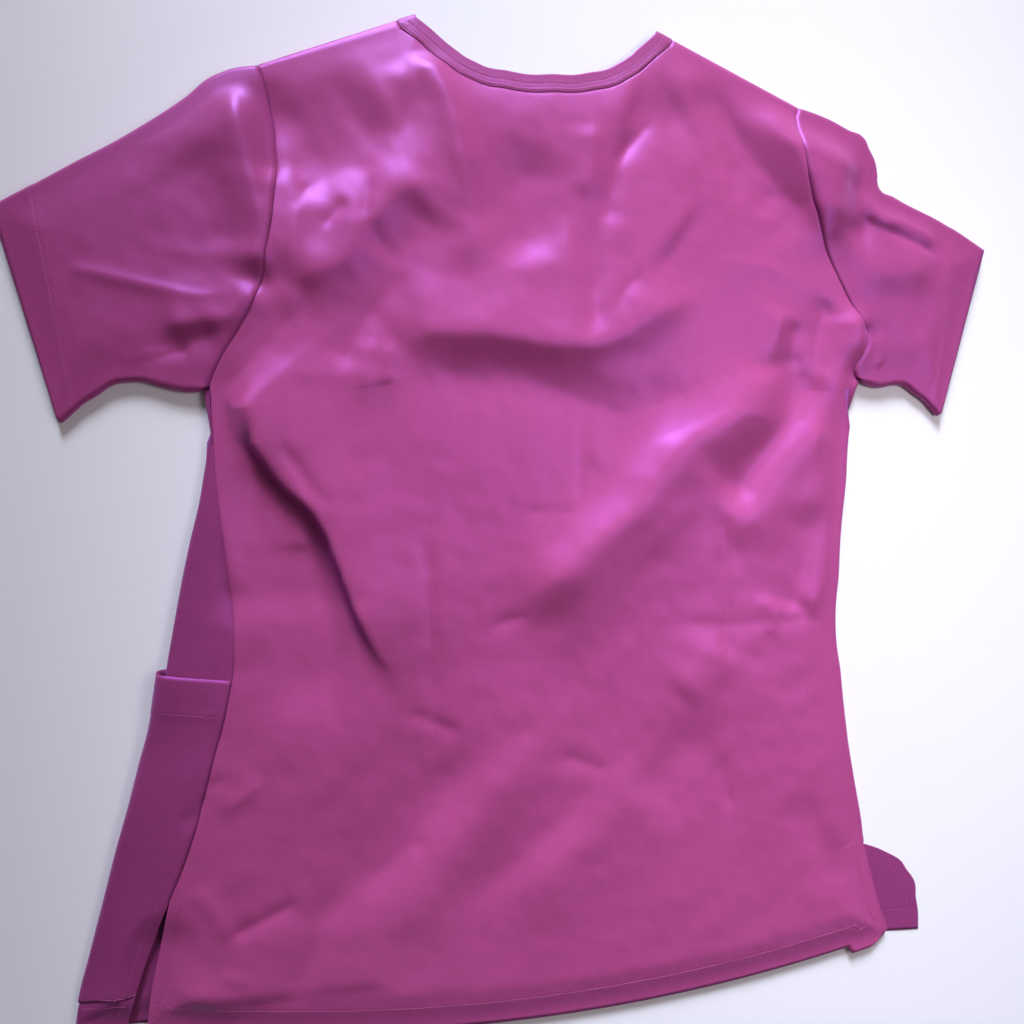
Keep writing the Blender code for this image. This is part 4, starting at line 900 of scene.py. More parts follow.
def turned_side(which, named, tangent_of, vent_edge, vent, underarm):
    """The strip of columns at the side where a panel turns round its fold, row by row up to the shoulder.
    The left fold goes on down to the hem, and the right one ends at its vent."""
    sign = -1 if which == "left" else 1
    low = vent_edge["height"][0]
    strips = []
    heights = row_heights(low, vent, underarm)
    fan_start = len(heights) - FAN_ROWS - 1
    for i, y in enumerate(heights):
        tangent, radius = (float(v) for v in tangent_of(y))
        half = math.pi * radius
        under = max(float(side(named, "seam", y)) - radius, LEAST_UNDER) - SEAM_GAP / 2
        edge = float(side(vent_edge, "x", y))
        if i <= ROWS_VENT and which == "right":
            strips.append(flat_strip(edge, y, (y - low) / (vent - low)))
            continue
        if i < ROWS_VENT:
            under = edge - tangent - SEAM_GAP / 2
        if i < fan_start:
            if which == "right":
                turn = min(float(side(named, "turn", y)), 1.0)
                half *= turn
                under *= turn
            flat_part = np.linspace(-STRIP_IN, 0, INNER + 1)
            past = np.concatenate([flat_part, half * np.array(ARC), half + under * SHARES_UNDER])
            strips.append(np.column_stack([tangent + sign * past, np.full(len(past), y)]))
            continue
        ends = [half + under] + [half * a for a in ARC[::-1]] + [0.0]
        inner = np.array([tangent - sign * STRIP_IN, y])
        strips.append(strip_row(inner, np.array([tangent + sign * ends[i - fan_start], underarm])))
    for i, point in enumerate(armhole(which)[1:]):
        width = STRIP_IN + STRIP_SPREAD * i
        strips.append(strip_row(point - np.array([sign * width, 0.0]), point))
    return strips


def plain_side(edge_points, which):
    """The column at the side where a panel lies flat, from the hem up to the shoulder."""
    return np.concatenate([edge_points, armhole(which)[1:]])


def lower_edge(plain, strips, count, level):
    """Plan points along a panel's lower edge, at the level there, from its plain side to its strip."""
    x = np.linspace(plain[0, 0], strips[0][0][0], count)
    edge = np.column_stack([x, level(x)])
    edge[0], edge[-1] = plain[0], strips[0][0]
    return edge


def fill_panel(plain, strips, foot, top):
    """All plan points of a panel, row by row: from its plain side to its turned side.
    foot and top are the plan points along its lower and upper edges, up to where the strip begins."""
    begin = np.array([strip[0] for strip in strips])
    share_foot = (foot[:, 0] - foot[0, 0]) / (foot[-1, 0] - foot[0, 0])
    share_top = (top[:, 0] - top[0, 0]) / (top[-1, 0] - top[0, 0])
    climb = (plain[:, 1] - plain[0, 1]) / (plain[-1, 1] - plain[0, 1])
    grid = []
    for w, start, end, strip in zip(climb, plain, begin, strips):
        share = share_foot + (share_top - share_foot) * w
        x = start[0] + share * (end[0] - start[0])
        level = foot[:, 1] + (top[:, 1] - foot[:, 1]) * w
        y = level + (1 - share) * (start[1] - level[0]) + share * (end[1] - level[-1])
        grid.append(np.concatenate([np.column_stack([x, y])[:-1], strip]))
    return np.array(grid)


def along_line(start, end, count):
    return np.linspace(start, end, count + 1)


def beside(line, distance):
    """A line of points beside another, at its right hand, with its corners mitred."""
    step = unit(np.diff(line, axis=0))
    before, after = np.concatenate([step[:1], step]), np.concatenate([step, step[-1:]])
    along = unit(before + after)
    stretch = 1 / np.sum(along * after, axis=1)
    normal = np.stack([along[:, 1], -along[:, 0]], -1)
    return line + normal * (distance * stretch)[:, None]


def over_shoulder(name):
    """The neckline's stations where it runs out over a shoulder, from the seam underneath back up."""
    line = SHOULDERS[name]
    half = math.pi * line["radii"][0]
    past = np.array([half + SHOULDER_UNDERLAP] + [half * a for a in ARC[::-1]])
    return line["neck"] + line["out"] * past[:, None]


def back_neck_line():
    """The back neckline's outer edge on the flat plan, with its ends out over the shoulders."""
    left, right = SHOULDERS["left"]["neck"], SHOULDERS["right"]["neck"]
    across = curve([left, *plan_of(NECKLINE)[1:-1], right], np.linspace(0, 1, BACK_COLUMNS["neck"] + 1))
    return np.concatenate([over_shoulder("left"), across, over_shoulder("right")[::-1]])


def front_neck_line():
    """The front's V neckline on the table, from the right shoulder seam down to its point and up again."""
    sides = {}
    for name, line in SHOULDERS.items():
        inward = np.array([[SHOULDER_UNDERLAP + SEAM_GAP], [BAND_WIDTH * 2]])
        sides[name] = line["neck"] - line["out"] * inward
    point = np.array([0.0, sides["left"][0, 1] - FRONT_V_DEPTH])
    shares = np.linspace(0, 1, FRONT_COLUMNS["each side of the neck"])[:, None]
    down = np.concatenate([sides["right"][:1], sides["right"][1] + (point - sides["right"][1]) * shares])
    up = np.concatenate([sides["left"][:1], sides["left"][1] + (point - sides["left"][1]) * shares])[::-1]
    return np.concatenate([down, up[1:]])


def back_panel_patches():
    """The back's plan, whose right side is turned under: the body, and the part beyond each shoulder."""
    left_y = row_heights(BACK_VENT_LEFT["height"][0], VENT_LEFT, UNDERARM_LEFT)
    seam = side(LEFT_SIDE, "folded", left_y) + left_seam_in(left_y) + SEAM_GAP / 2
    vent = side(BACK_VENT_LEFT, "x", left_y)
    left = np.column_stack([np.where(left_y < VENT_LEFT, vent, seam), left_y])
    even_fan(left)
    plain = plain_side(left, "left")
    strips = turned_side("right", RIGHT_SIDE, right_tangent, BACK_VENT_RIGHT, VENT_RIGHT, UNDERARM_RIGHT)
    neck = beside(back_neck_line(), BAND_WIDTH + BAND_GAP)
    flaps = {"left": [], "right": []}
    for name, line in SHOULDERS.items():
        necks = neck[: len(ARC) + 2][::-1] if name == "left" else neck[-len(ARC) - 2 :]
        half = math.pi * line["radii"][1]
        for past, at_neck in zip([0.0] + [half * a for a in ARC] + [half + SHOULDER_UNDERLAP], necks):
            tip = line["tip"] + line["out"] * past
            if name == "left":
                flaps[name].append(along_line(tip, at_neck, BACK_COLUMNS["left shoulder"]))
            else:
                inner = tip + (at_neck - tip) * SHOULDER_STRIP
                across = along_line(at_neck, inner, BACK_COLUMNS["right shoulder"])
                flaps[name].append(np.concatenate([across[:-1], strip_row(inner, tip)]))
    right_start = flaps["right"][0][: BACK_COLUMNS["right shoulder"] + 1]
    strips[-1] = flaps["right"][0][BACK_COLUMNS["right shoulder"] :]
    across_neck = neck[len(ARC) + 1 : -len(ARC) - 1]
    top = np.concatenate([flaps["left"][0][:-1], across_neck[:-1], right_start])
    foot = lower_edge(plain, strips, len(top), hem)
    return [fill_panel(plain, strips, foot, top), np.array(flaps["left"]), np.array(flaps["right"])]


def even_fan(edge):
    """Draws a side's edge straight beside the fan rows, as the turned side's is there."""
    first = len(edge) - FAN_ROWS - 2
    edge[first:, 0] = np.interp(edge[first:, 1], edge[[first, -1], 1], edge[[first, -1], 0])


def front_panel_patch():
    """The front's plan: right side plain, left side turned up and over."""
    right_y = row_heights(FRONT_VENT_RIGHT["y"][0], VENT_RIGHT, UNDERARM_RIGHT)
    tangent, radius = right_tangent(right_y)
    under = np.maximum(side(RIGHT_SIDE, "seam", right_y) - radius, LEAST_UNDER)
    right = np.column_stack([tangent - under - SEAM_GAP / 2, right_y])
    even_fan(right)
    flap_shares = np.linspace(0, 1, ROWS_VENT + 1)
    for k, axis in enumerate("xy"):
        right[: ROWS_VENT + 1, k] = through(FRONT_VENT_RIGHT["share"], FRONT_VENT_RIGHT[axis], flap_shares)
    plain = plain_side(right, "right")[:-1]
    strips = turned_side("left", LEFT_SIDE, left_tangent, FRONT_VENT_LEFT, VENT_LEFT, UNDERARM_LEFT)[:-1]
    seam = shoulder_seam(SHOULDERS["left"])
    neck = beside(front_neck_line(), -(BAND_WIDTH + BAND_GAP))
    inner = seam + (neck[-1] - seam) * SHOULDER_STRIP
    strips[-1] = strip_row(inner, seam)
    top = np.concatenate(
        [
            along_line(plain[-1], neck[0], FRONT_COLUMNS["right shoulder"])[:-1],
            neck[:-1],
            along_line(neck[-1], inner, FRONT_COLUMNS["left shoulder"]),
        ]
    )
    return fill_panel(plain, strips, lower_edge(plain, strips, len(top), front_hem), top)


def sleeve_rings(which):
    """A sleeve as closed rings in space, from the armhole to the cuff: up over the top layer from the
    underarm, round the upper fold, and back along the table."""
    sign = -1 if which == "left" else 1
    edges = SLEEVES[which]
    hole = armhole(which) + np.array([sign * ARMHOLE_GAP, 0.0])
    hole[0] += (0.0, WALL / 2 + BAND_GAP)
    spread = run_lengths(hole)
    spread /= spread[-1]
    foot, top = edges["foot"]["tangent"].copy(), edges["top"]["tangent"].copy()
    foot[0], top[0] = hole[0], hole[-1]
    rings = []
    for i, share in enumerate(SLEEVE_STATIONS):
        chord = foot[i] + (top[i] - foot[i]) * spread[:, None]
        bulge = hole - (foot[0] + (top[0] - foot[0]) * spread[:, None])
        plan = chord + bulge * (1 - smoothstep(share))
        radius = edges["top"]["radius"][i]
        upper = np.column_stack([plan, top_height(plan[:, 0], plan[:, 1])])
        lower = np.column_stack([plan, np.full(len(plan), LOWEST)])[::-1]
        past = np.array(ARC[:-1]) * math.pi * radius
        high = LOWEST + 2 * radius
        over, over_z = roll(past, radius, top[i], edges["top"]["out"][i], high, LOWEST)
        under, under_z = roll(past, radius, foot[i], edges["foot"]["out"][i], high, LOWEST)
        turns = np.column_stack([over, over_z]), np.column_stack([under, under_z])[::-1]
        rings.append(np.concatenate([upper, turns[0], lower, turns[1]]))
    return np.array(rings)


def pocket_points():
    """The pocket on the front's flat plan, from its inner edge round the fold to the side seam."""
    levels = []
    for share in np.linspace(0, 1, POCKET_ROWS + 1):
        y = POCKET_FOOT + (POCKET_TOP - POCKET_FOOT) * share
        drop = (POCKET_TOP - POCKET_TOP_AT_SEAM) * share
        half = math.pi * float(left_tangent(y - drop)[1])
        inner = np.linspace(POCKET_INNER_EDGE, float(left_tangent(y)[0]), POCKET_COLUMNS["under"])
        round_fold = half * np.linspace(0, 1, POCKET_COLUMNS["fold"] + 1)[1:]
        on_top = half + front_edge_over(y - drop) * np.linspace(0, 1, POCKET_COLUMNS["top"] + 1)[1:]
        past = np.concatenate([round_fold, on_top])
        level = y - drop * past / past[-1]
        outer = np.column_stack([left_tangent(level)[0] - past, level])
        levels.append(np.concatenate([np.column_stack([inner, np.full(len(inner), y)]), outer]))
    return np.array(levels)


def surface_normals(surface, flat, outward):
    """The directions out from a surface, at points of its flat plan. outward is -1 where it faces down."""
    beyond = np.eye(2) * NORMAL_REACH
    across, up = (surface(flat + step) - surface(flat - step) for step in beyond)
    return unit(np.cross(across, up) * outward)


def pocket_surface(points):
    """The pocket lies on the outside of the front, and its mouth stands a little open at the fold."""
    out = surface_normals(front_surface, points, -1)
    tangent, radius = left_tangent(points[:, 1])
    half_turns = (tangent - points[:, 0]) / (math.pi * radius)
    at_fold = smoothstep(half_turns / GAPE_START) * smoothstep((GAPE_END - half_turns) / (GAPE_END - 1))
    at_mouth = smoothstep((points[:, 1] - POCKET_TOP + GAPE_DEPTH) / GAPE_DEPTH)
    step = POCKET_STEP - POCKET_SINK * smoothstep(half_turns)
    return front_surface(points) + out * (step + GAPE * at_fold * at_mouth)[:, None]


def back_band_surface(points):
    """The back's neckband goes on from it out to the neckline. Their upper faces are flush."""
    placed = back_surface(points)
    placed[:, 2] -= (BAND_WALL - WALL) / 2
    return placed


def front_band_surface(points):
    """The front's neckband lies flat on the table."""
    return np.column_stack([points, np.full(len(points), BAND_WALL / 2)])


# ---------------------------------------------------------------- cloth


def distance_to(points, lines):
    """The distance from each point to the nearest of some lines of points."""
    best = np.full(points.shape[:-1], FAR)
    for line in lines:
        for start, end in zip(line[:-1], line[1:]):
            step = end - start
            t = np.clip(((points - start) @ step) / max(step @ step, TINY), 0, 1)
            best = np.minimum(best, np.linalg.norm(points - start - t[..., None] * step, axis=-1))
    return best


def crowd(grid, axis, at_start, at_end):
    """Adds close lines of points beside the first or last line of a grid, where the cloth is sewn."""
    lines = np.swapaxes(grid, 0, axis)
    if at_start:
        extra = [lines[0] + (lines[1] - lines[0]) * share for share in CROWD]
        lines = np.concatenate([lines[:1], extra, lines[1:]])
    if at_end:
        extra = [lines[-1] + (lines[-2] - lines[-1]) * share for share in CROWD[::-1]]
        lines = np.concatenate([lines[:-1], extra, lines[-1:]])
    return np.swapaxes(lines, 0, axis)


def nearest_row(flat, rows):
    """How far each point is past the nearest row of stitches, negative on the edge's side of it."""
    best = np.full(len(flat), FAR)
    for lines, offset in rows:
        past = distance_to(flat, lines) - offset
        best = np.where(np.abs(past) < np.abs(best), past, best)
    return best


def in_metres(places):
    """Places in millimetres over the plan, moved to the model's origin and scaled to metres."""
    return (places - [CENTRE_X, CENTRE_Y, 0.0]) * MM


def add_object(name, data):
    added = bpy.data.objects.new(name, data)
    bpy.context.scene.collection.objects.link(added)
    return added


def cloth(name, layers, sewn, folds=(), rows=(), wall=WALL, thickness=SHEET, closed=False, flip=False):
    """Grids of points as one thin sheet of cloth, whose outer face lies on its solid's. Each layer is the
    cloth's flat plan with the places of its points. sewn are the lines where it dips into a seam. folds
    are the edges that are turned in, with their widths, and each has its row of stitches. rows are the
    edges that further rows lie beside, with their distances."""
    rows = [(lines, width - STITCH_IN) for lines, width in folds] + list(rows)
    numbers, flats, quads, corners = {}, [], [], []
    for flat, placed in layers:
        lines, columns = placed.shape[:2]
        index = np.zeros(lines * columns, int)
        keys = np.round(placed.reshape(-1, 3), SAME_PLACE).tolist()
        for k, (key, place) in enumerate(zip(keys, flat[:, :columns].reshape(-1, 2))):
            key = tuple(key)
            if key not in numbers:
                numbers[key] = len(numbers)
                flats.append(place)
            index[k] = numbers[key]
        index = index.reshape(lines, columns)
        if closed:
            index = np.concatenate([index, index[:, :1]], axis=1)
        for grid, kept in ((index, quads), (flat, corners)):
            kept.append(np.stack([grid[:-1, :-1], grid[:-1, 1:], grid[1:, 1:], grid[1:, :-1]], 2))
    quads = np.concatenate([quad.reshape(-1, 4) for quad in quads])
    corners = np.concatenate([corner.reshape(-1, 4, 2) for corner in corners])
    if flip:
        quads, corners = quads[:, ::-1], corners[:, ::-1]
    flats = np.array(flats)
    places = in_metres(np.array(list(numbers)))
    mesh = bpy.data.meshes.new(name)
    mesh.from_pydata(places.tolist(), [], quads.tolist())
    normals = np.zeros(len(places) * 3, np.float32)
    mesh.vertex_normals.foreach_get("vector", normals)
    out = np.full(len(places), wall / 2)
    out -= SEAM_DEPTH * (1 - smoothstep(distance_to(flats, sewn) / SEAM_RUN))
    if folds:
        past = np.min([distance_to(flats, lines) - width for lines, width in folds], axis=0)
        out -= HEM_STEP * smoothstep(past / HEM_STEP_RUN + 0.5)
    places += normals.reshape(-1, 3) * out[:, None] * MM
    mesh.vertices.foreach_set("co", places.astype(np.float32).ravel())
    mesh.uv_layers.new(name="flat").data.foreach_set("uv", (corners * MM).astype(np.float32).ravel())
    for label, values in (("stitch_row", nearest_row(flats, rows)), ("seam", distance_to(flats, sewn))):
        mesh.attributes.new(label, "FLOAT", "POINT").data.foreach_set("value", values.astype(np.float32))
    mesh.shade_smooth()
    piece = add_object(name, mesh)
    shell = piece.modifiers.new("thickness", "SOLIDIFY")
    shell.thickness = thickness * MM
    shell.offset = -1.0
    bpy.ops.object.select_all(action="DESELECT")
    piece.select_set(True)
    bpy.context.view_layer.objects.active = piece
    bpy.ops.object.modifier_apply(modifier="thickness")
    return piece


def polyline(points, spacing):
    """Points at an even spacing along a line, in any number of dimensions."""
    points = np.asarray(points, float)
    along = run_lengths(points)
    count = max(int(along[-1] / spacing), 2)
    at = np.linspace(0, along[-1], count + 1)
    return np.stack([np.interp(at, along, points[:, k]) for k in range(points.shape[1])], -1)


def stitch_form():
    """One stitch lying along X, as a low rounded bar: its points and faces."""
    points = [(-STITCH_END, 0.0, STITCH_DROP)]
    for x, size in STITCH_RINGS:
        for k in range(STITCH_SIDES):
            turn = 2 * math.pi * k / STITCH_SIDES
            points.append((x, size * math.cos(turn), size * math.sin(turn)))
    points.append((STITCH_END, 0.0, STITCH_DROP))
    faces = []
    last = 1 + (len(STITCH_RINGS) - 1) * STITCH_SIDES
    for k in range(STITCH_SIDES):
        after = (k + 1) % STITCH_SIDES
        faces.append((0, 1 + after, 1 + k))
        for low in range(1, last, STITCH_SIDES):
            high = low + STITCH_SIDES
            faces.append((low + k, low + after, high + after, high + k))
        faces.append((last + k, last + after, len(points) - 1))
    return np.array(points), faces


def stitching(name, paths):
    """Rows of stitches as one piece. Each path is the places of its points with their normals."""
    form, form_faces = stitch_form()
    places, faces = [], []
    for points, normals in paths:
        for k in range(len(points) - 1):
            ahead = points[k + 1] - points[k]
            length = np.linalg.norm(ahead)
            ahead = ahead / length
            up = normals[k] - ahead * (normals[k] @ ahead)
            up /= np.linalg.norm(up)
            aside = np.cross(up, ahead)
            middle = (points[k] + points[k + 1]) / 2 + up * STITCH_LIFT
            turned = (
                np.outer(form[:, 0] * length * STITCH_SHARE, ahead)
                + np.outer(form[:, 1] * STITCH_WIDTH / 2, aside)
                + np.outer(form[:, 2] * STITCH_HEIGHT / 2, up)
            )
            first = len(places) * len(form)
            places.append(middle + turned)
            faces += [tuple(first + i for i in face) for face in form_faces]
    mesh = bpy.data.meshes.new(name)
    placed = in_metres(np.concatenate(places))
    placed[:, 2] = np.maximum(placed[:, 2], 0.0)  # none goes into the table
    mesh.from_pydata(placed.tolist(), [], faces)
    mesh.shade_smooth()
    mesh.materials.append(THREAD_FINISH)
    piece = add_object(name, mesh)
    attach(piece, "root")
    return piece


def row_on(surface, line, offset, outward=1, wall=WALL):
    """A row of stitches beside a line of the flat plan, on the outer face of the cloth."""
    flat = polyline(beside(polyline(line, ROW_SMOOTHING), offset), STITCH_SPACING)
    normals = surface_normals(surface, flat, outward)
    return surface(flat) + normals * wall / 2, normals


# ---------------------------------------------------------------- finishes


def group(name, inputs, outputs):
    """An empty shader node group with its sockets, and its two end nodes."""
    tree = bpy.data.node_groups.new(name, "ShaderNodeTree")
    for label, kind, value in inputs:
        socket = tree.interface.new_socket(label, in_out="INPUT", socket_type=kind)
        socket.default_value = value
    for label, kind in outputs:
        tree.interface.new_socket(label, in_out="OUTPUT", socket_type=kind)
    return tree, tree.nodes.new("NodeGroupInput"), tree.nodes.new("NodeGroupOutput")


def node(tree, kind, links=(), **settings):
    """A node with its settings, and links from (socket name or number, output or value) pairs."""
    made = tree.nodes.new(kind)
    for key, value in settings.items():
        setattr(made, key, value)
    for socket, source in links:
        if isinstance(source, bpy.types.NodeSocket):
            tree.links.new(source, made.inputs[socket])
        else:
            made.inputs[socket].default_value = source
    return made


def math_node(tree, operation, *values):
    return node(tree, "ShaderNodeMath", list(enumerate(values)), operation=operation).outputs[0]


def noise(tree, vector, scale, detail):
    links = [("Vector", vector), ("Scale", scale), ("Detail", detail)]
    return node(tree, "ShaderNodeTexNoise", links).outputs[0]


def ranged(tree, value, low, high, to_low=0.0, to_high=1.0):
    """A value brought from one range to another, and kept inside it."""
    links = [("Value", value), ("From Min", low), ("From Max", high), ("To Min", to_low), ("To Max", to_high)]
    return node(tree, "ShaderNodeMapRange", links).outputs[0]


def mixed(tree, factor, low, high):
    """A colour between two others."""
    links = [("Factor", factor), (6, low), (7, high)]
    return node(tree, "ShaderNodeMix", links, data_type="RGBA").outputs[2]


def flat_plan(tree):
    """Where each point lies on its piece's flat plan, in metres."""
    return node(tree, "ShaderNodeUVMap", uv_map="flat").outputs["UV"]


def distance_from(tree, line):
    """How far each point lies from a line that cloth() measured, in millimetres."""
    return node(tree, "ShaderNodeAttribute", attribute_name=line).outputs["Fac"]


def bell(tree, value, width):
    """1 where the value is 0, running out to 0 round it."""
    square = math_node(tree, "POWER", math_node(tree, "DIVIDE", value, width), 2.0)
    return math_node(tree, "EXPONENT", math_node(tree, "MULTIPLY", square, -1.0))


def weave_group():
    """Plain-woven poplin: fine ribs across, warp threads along, and slubs in both."""
    tree, given, made = group(
        "poplin_weave",
        [("Threads per metre", "NodeSocketFloat", THREADS_PER_METRE), ("Slub", "NodeSocketFloat", SLUB)],
        [("Height", "NodeSocketFloat"), ("Slub shade", "NodeSocketFloat")],
    )
    flat = flat_plan(tree)
    parts = node(tree, "ShaderNodeSeparateXYZ", [(0, flat)])
    turns = math_node(tree, "MULTIPLY", given.outputs["Threads per metre"], math.pi)
    waves = []
    for axis, fineness in (("X", 1.0), ("Y", RIB_FINENESS)):
        angle = math_node(tree, "MULTIPLY", parts.outputs[axis], turns)
        wave = math_node(tree, "SINE", math_node(tree, "MULTIPLY", angle, fineness))
        waves.append(math_node(tree, "ABSOLUTE", wave))
    slubs = []
    for stretch in SLUB_STRETCH:
        place = node(tree, "ShaderNodeMapping", [("Vector", flat), ("Scale", stretch)]).outputs[0]
        slubs.append(noise(tree, place, 1.0, SLUB_DETAIL))
    slub = math_node(tree, "MULTIPLY", math_node(tree, "ADD", *slubs), 0.5)
    amount = math_node(tree, "MULTIPLY", slub, given.outputs["Slub"])
    height = math_node(tree, "ADD", math_node(tree, "MULTIPLY", *waves), amount)
    tree.links.new(height, made.inputs["Height"])
    tree.links.new(slub, made.inputs["Slub shade"])
    return tree


def tone_group():
    """The cloth's colour: a little deeper and bluer in some places than in others, and worn paler."""
    cloth_colour, deep_colour, _ = BACK_POPLIN
    tree, given, made = group(
        "poplin_tone",
        [
            ("Cloth", "NodeSocketColor", (*cloth_colour, 1.0)),
            ("Deep", "NodeSocketColor", (*deep_colour, 1.0)),
        ],
        [("Color", "NodeSocketColor"), ("Patch", "NodeSocketFloat")],
    )
    flat = flat_plan(tree)
    grains = []
    for scale, detail, share in TONE_GRAINS:
        grains.append(math_node(tree, "MULTIPLY", noise(tree, flat, scale, detail), share))
    patch = ranged(tree, math_node(tree, "ADD", *grains), *TONE_RANGE)
    colour = mixed(tree, patch, given.outputs["Deep"], given.outputs["Cloth"])
    tree.links.new(colour, made.inputs["Color"])
    tree.links.new(patch, made.inputs["Patch"])
    return tree


def seam_group():
    """The furrow along each row of stitches with the puckers beside it, and the shade down in a seam."""
    outputs = [("Height", "NodeSocketFloat"), ("Shade", "NodeSocketFloat")]
    tree, _, made = group("stitched_lines", [], outputs)
    row, seam = distance_from(tree, "stitch_row"), distance_from(tree, "seam")
    furrow = bell(tree, row, FURROW_WIDTH)
    puckers = noise(tree, flat_plan(tree), *PUCKER_GRAIN)
    puckers = math_node(tree, "MULTIPLY", bell(tree, row, PUCKER_WIDTH), puckers)
    raised = math_node(tree, "MULTIPLY", puckers, PUCKER_HEIGHT)
    height = math_node(tree, "SUBTRACT", raised, math_node(tree, "MULTIPLY", furrow, FURROW_DEPTH))
    in_furrow = math_node(tree, "MULTIPLY", furrow, FURROW_SHADE)
    in_seam = math_node(tree, "MULTIPLY", bell(tree, seam, IN_SEAM_WIDTH), IN_SEAM_SHADE)
    tree.links.new(height, made.inputs["Height"])
    tree.links.new(math_node(tree, "MAXIMUM", in_furrow, in_seam), made.inputs["Shade"])
    return tree


def new_finish(name):
    """A new material with its node tree and its shader."""
    material = bpy.data.materials.new(name)
    material.use_nodes = True
    tree = material.node_tree
    return material, tree, tree.nodes["Principled BSDF"]


def poplin(name, cloth_colour, deep_colour, seam_shade_colour):
    """A poplin finish for one piece."""
    material, tree, shader = new_finish(name)
    weave, tone, seams = (node(tree, "ShaderNodeGroup", node_tree=made) for made in GROUPS)
    tone.inputs["Cloth"].default_value = (*cloth_colour, 1.0)
    tone.inputs["Deep"].default_value = (*deep_colour, 1.0)
    # painted shade: a darker colour mixed in along the furrows of the stitch rows and down in the seams
    colour = mixed(tree, seams.outputs["Shade"], tone.outputs["Color"], (*seam_shade_colour, 1.0))
    tree.links.new(colour, shader.inputs["Base Color"])
    roughness = ranged(tree, weave.outputs["Slub shade"], *SLUB_RANGE, *ROUGHNESS)
    tree.links.new(roughness, shader.inputs["Roughness"])
    threads = math_node(tree, "MULTIPLY", weave.outputs["Height"], WEAVE_HEIGHT)
    height = math_node(tree, "ADD", threads, seams.outputs["Height"])
    bump = node(tree, "ShaderNodeBump", [("Height", height), ("Distance", MM), ("Strength", 1.0)])
    tree.links.new(bump.outputs[0], shader.inputs["Normal"])
    for socket, value in LUSTRE.items():
        shader.inputs[socket].default_value = value
    return material


def thread_finish():
    """The sewing thread's finish."""
    material, tree, shader = new_finish("thread")
    place = node(tree, "ShaderNodeTexCoord").outputs["Object"]
    colour = mixed(tree, noise(tree, place, *THREAD_GRAIN), (*THREAD_DEEP, 1.0), (*THREAD, 1.0))
    tree.links.new(colour, shader.inputs["Base Color"])
    shader.inputs["Roughness"].default_value = THREAD_ROUGHNESS
    return material


# ---------------------------------------------------------------- the pieces


def laid(surface, patches):
    """Each patch of the flat plan with the places of its points."""
    return [(patch, surface(patch.reshape(-1, 2)).reshape(*patch.shape[:2], 3)) for patch in patches]


def hem_and_vents(hem_line, left_vent, right_vent):
    """A panel's turned edges with their widths. Every third point is near enough to measure from."""
    return [([hem_line[::3]], HEM_FOLD), ([left_vent[::3], right_vent[::3]], VENT_FOLD)]


def hem_stitches(name, surface, hem_line, left_vent, right_vent, hand, outward):
    """The stitches along a panel's hem and vents. hand is 1 where the cloth is at the hem's right hand."""
    above_hem, inside_vent = HEM_FOLD - STITCH_IN, VENT_FOLD - STITCH_IN
    hem_row = row_on(surface, hem_line[ROW_ENDS:-ROW_ENDS], hand * above_hem, outward)
    left_row = row_on(surface, left_vent, inside_vent, outward)
    right_row = row_on(surface, right_vent, -inside_vent, outward)
    return stitching(name, [hem_row, left_row, right_row])


def dress_back():
    body, left_flap, right_flap = back_panel_patches()
    body = crowd(crowd(body, 1, True, True), 0, False, True)
    left_flap = crowd(crowd(left_flap, 1, True, False), 0, False, True)
    right_flap = crowd(crowd(right_flap, 1, False, True), 0, False, True)
    begin = BACK_COLUMNS["left shoulder"] + len(CROWD)
    neck = body[-1, begin : begin + BACK_COLUMNS["neck"] + 1]
    edges = body[0], body[: ROWS_VENT + 1, 0], body[: ROWS_VENT + 1, -1]
    sewn = [body[ROWS_VENT:, 0], body[ROWS_VENT:, -1], neck]
    for flap in (left_flap, right_flap):
        sewn += [flap[-1], flap[:, 0], flap[:, -1]]
    darts = [curve(dart["line"], DART_SHARES) for dart in DARTS]
    layers = laid(back_surface, [body, left_flap, right_flap])
    piece = cloth("back", layers, [line[::2] for line in sewn], hem_and_vents(*edges), [(darts, 0)])
    stitched = hem_stitches("back_hem_stitches", back_surface, *edges, -1, 1)
    finish_piece(piece, "back_panel", "poplin_back")


def dress_front():
    body = crowd(crowd(front_panel_patch(), 1, True, True), 0, False, True)
    edges = body[0], body[: ROWS_VENT + 1, -1], body[: ROWS_VENT + 1, 0]
    sewn = [body[ROWS_VENT:, 0], body[ROWS_VENT:, -1], body[-1]]
    layers = laid(front_surface, [body])
    piece = cloth("front", layers, [line[::2] for line in sewn], hem_and_vents(*edges))
    stitched = hem_stitches("front_hem_stitches", front_surface, *edges, 1, -1)
    finish_piece(piece, "front_panel", "poplin_front")


def ring_plan(rings):
    """The flat plan of a sleeve's rings: the way round each, and the way out to it."""
    closed = np.concatenate([rings, rings[:, :1]], axis=1)
    around = np.cumsum(np.linalg.norm(np.diff(closed, axis=1), axis=2), axis=1)
    around = np.concatenate([np.zeros((len(rings), 1)), around], axis=1)
    out = np.linalg.norm(np.diff(rings, axis=0), axis=2).mean(axis=1)
    out = np.concatenate([[0], np.cumsum(out)])
    return np.stack([around, np.tile(out[:, None], (1, around.shape[1]))], -1)


def ring_row(rings, plan, offset, hand):
    """A row of stitches round a sleeve, at a distance from its cuff."""
    at = plan[-1, 0, 1] - offset
    i = int(np.searchsorted(plan[:, 0, 1], at)) - 1
    share = (at - plan[i, 0, 1]) / (plan[i + 1, 0, 1] - plan[i, 0, 1])
    ring = rings[i] + (rings[i + 1] - rings[i]) * share
    across = np.roll(ring, -1, axis=0) - np.roll(ring, 1, axis=0)
    normals = unit(np.cross(across, rings[i + 1] - rings[i]) * hand)
    both = np.column_stack([ring + normals * WALL / 2, normals])
    both = polyline(np.concatenate([both, both[:1]]), STITCH_SPACING)
    return both[:, :3], both[:, 3:]


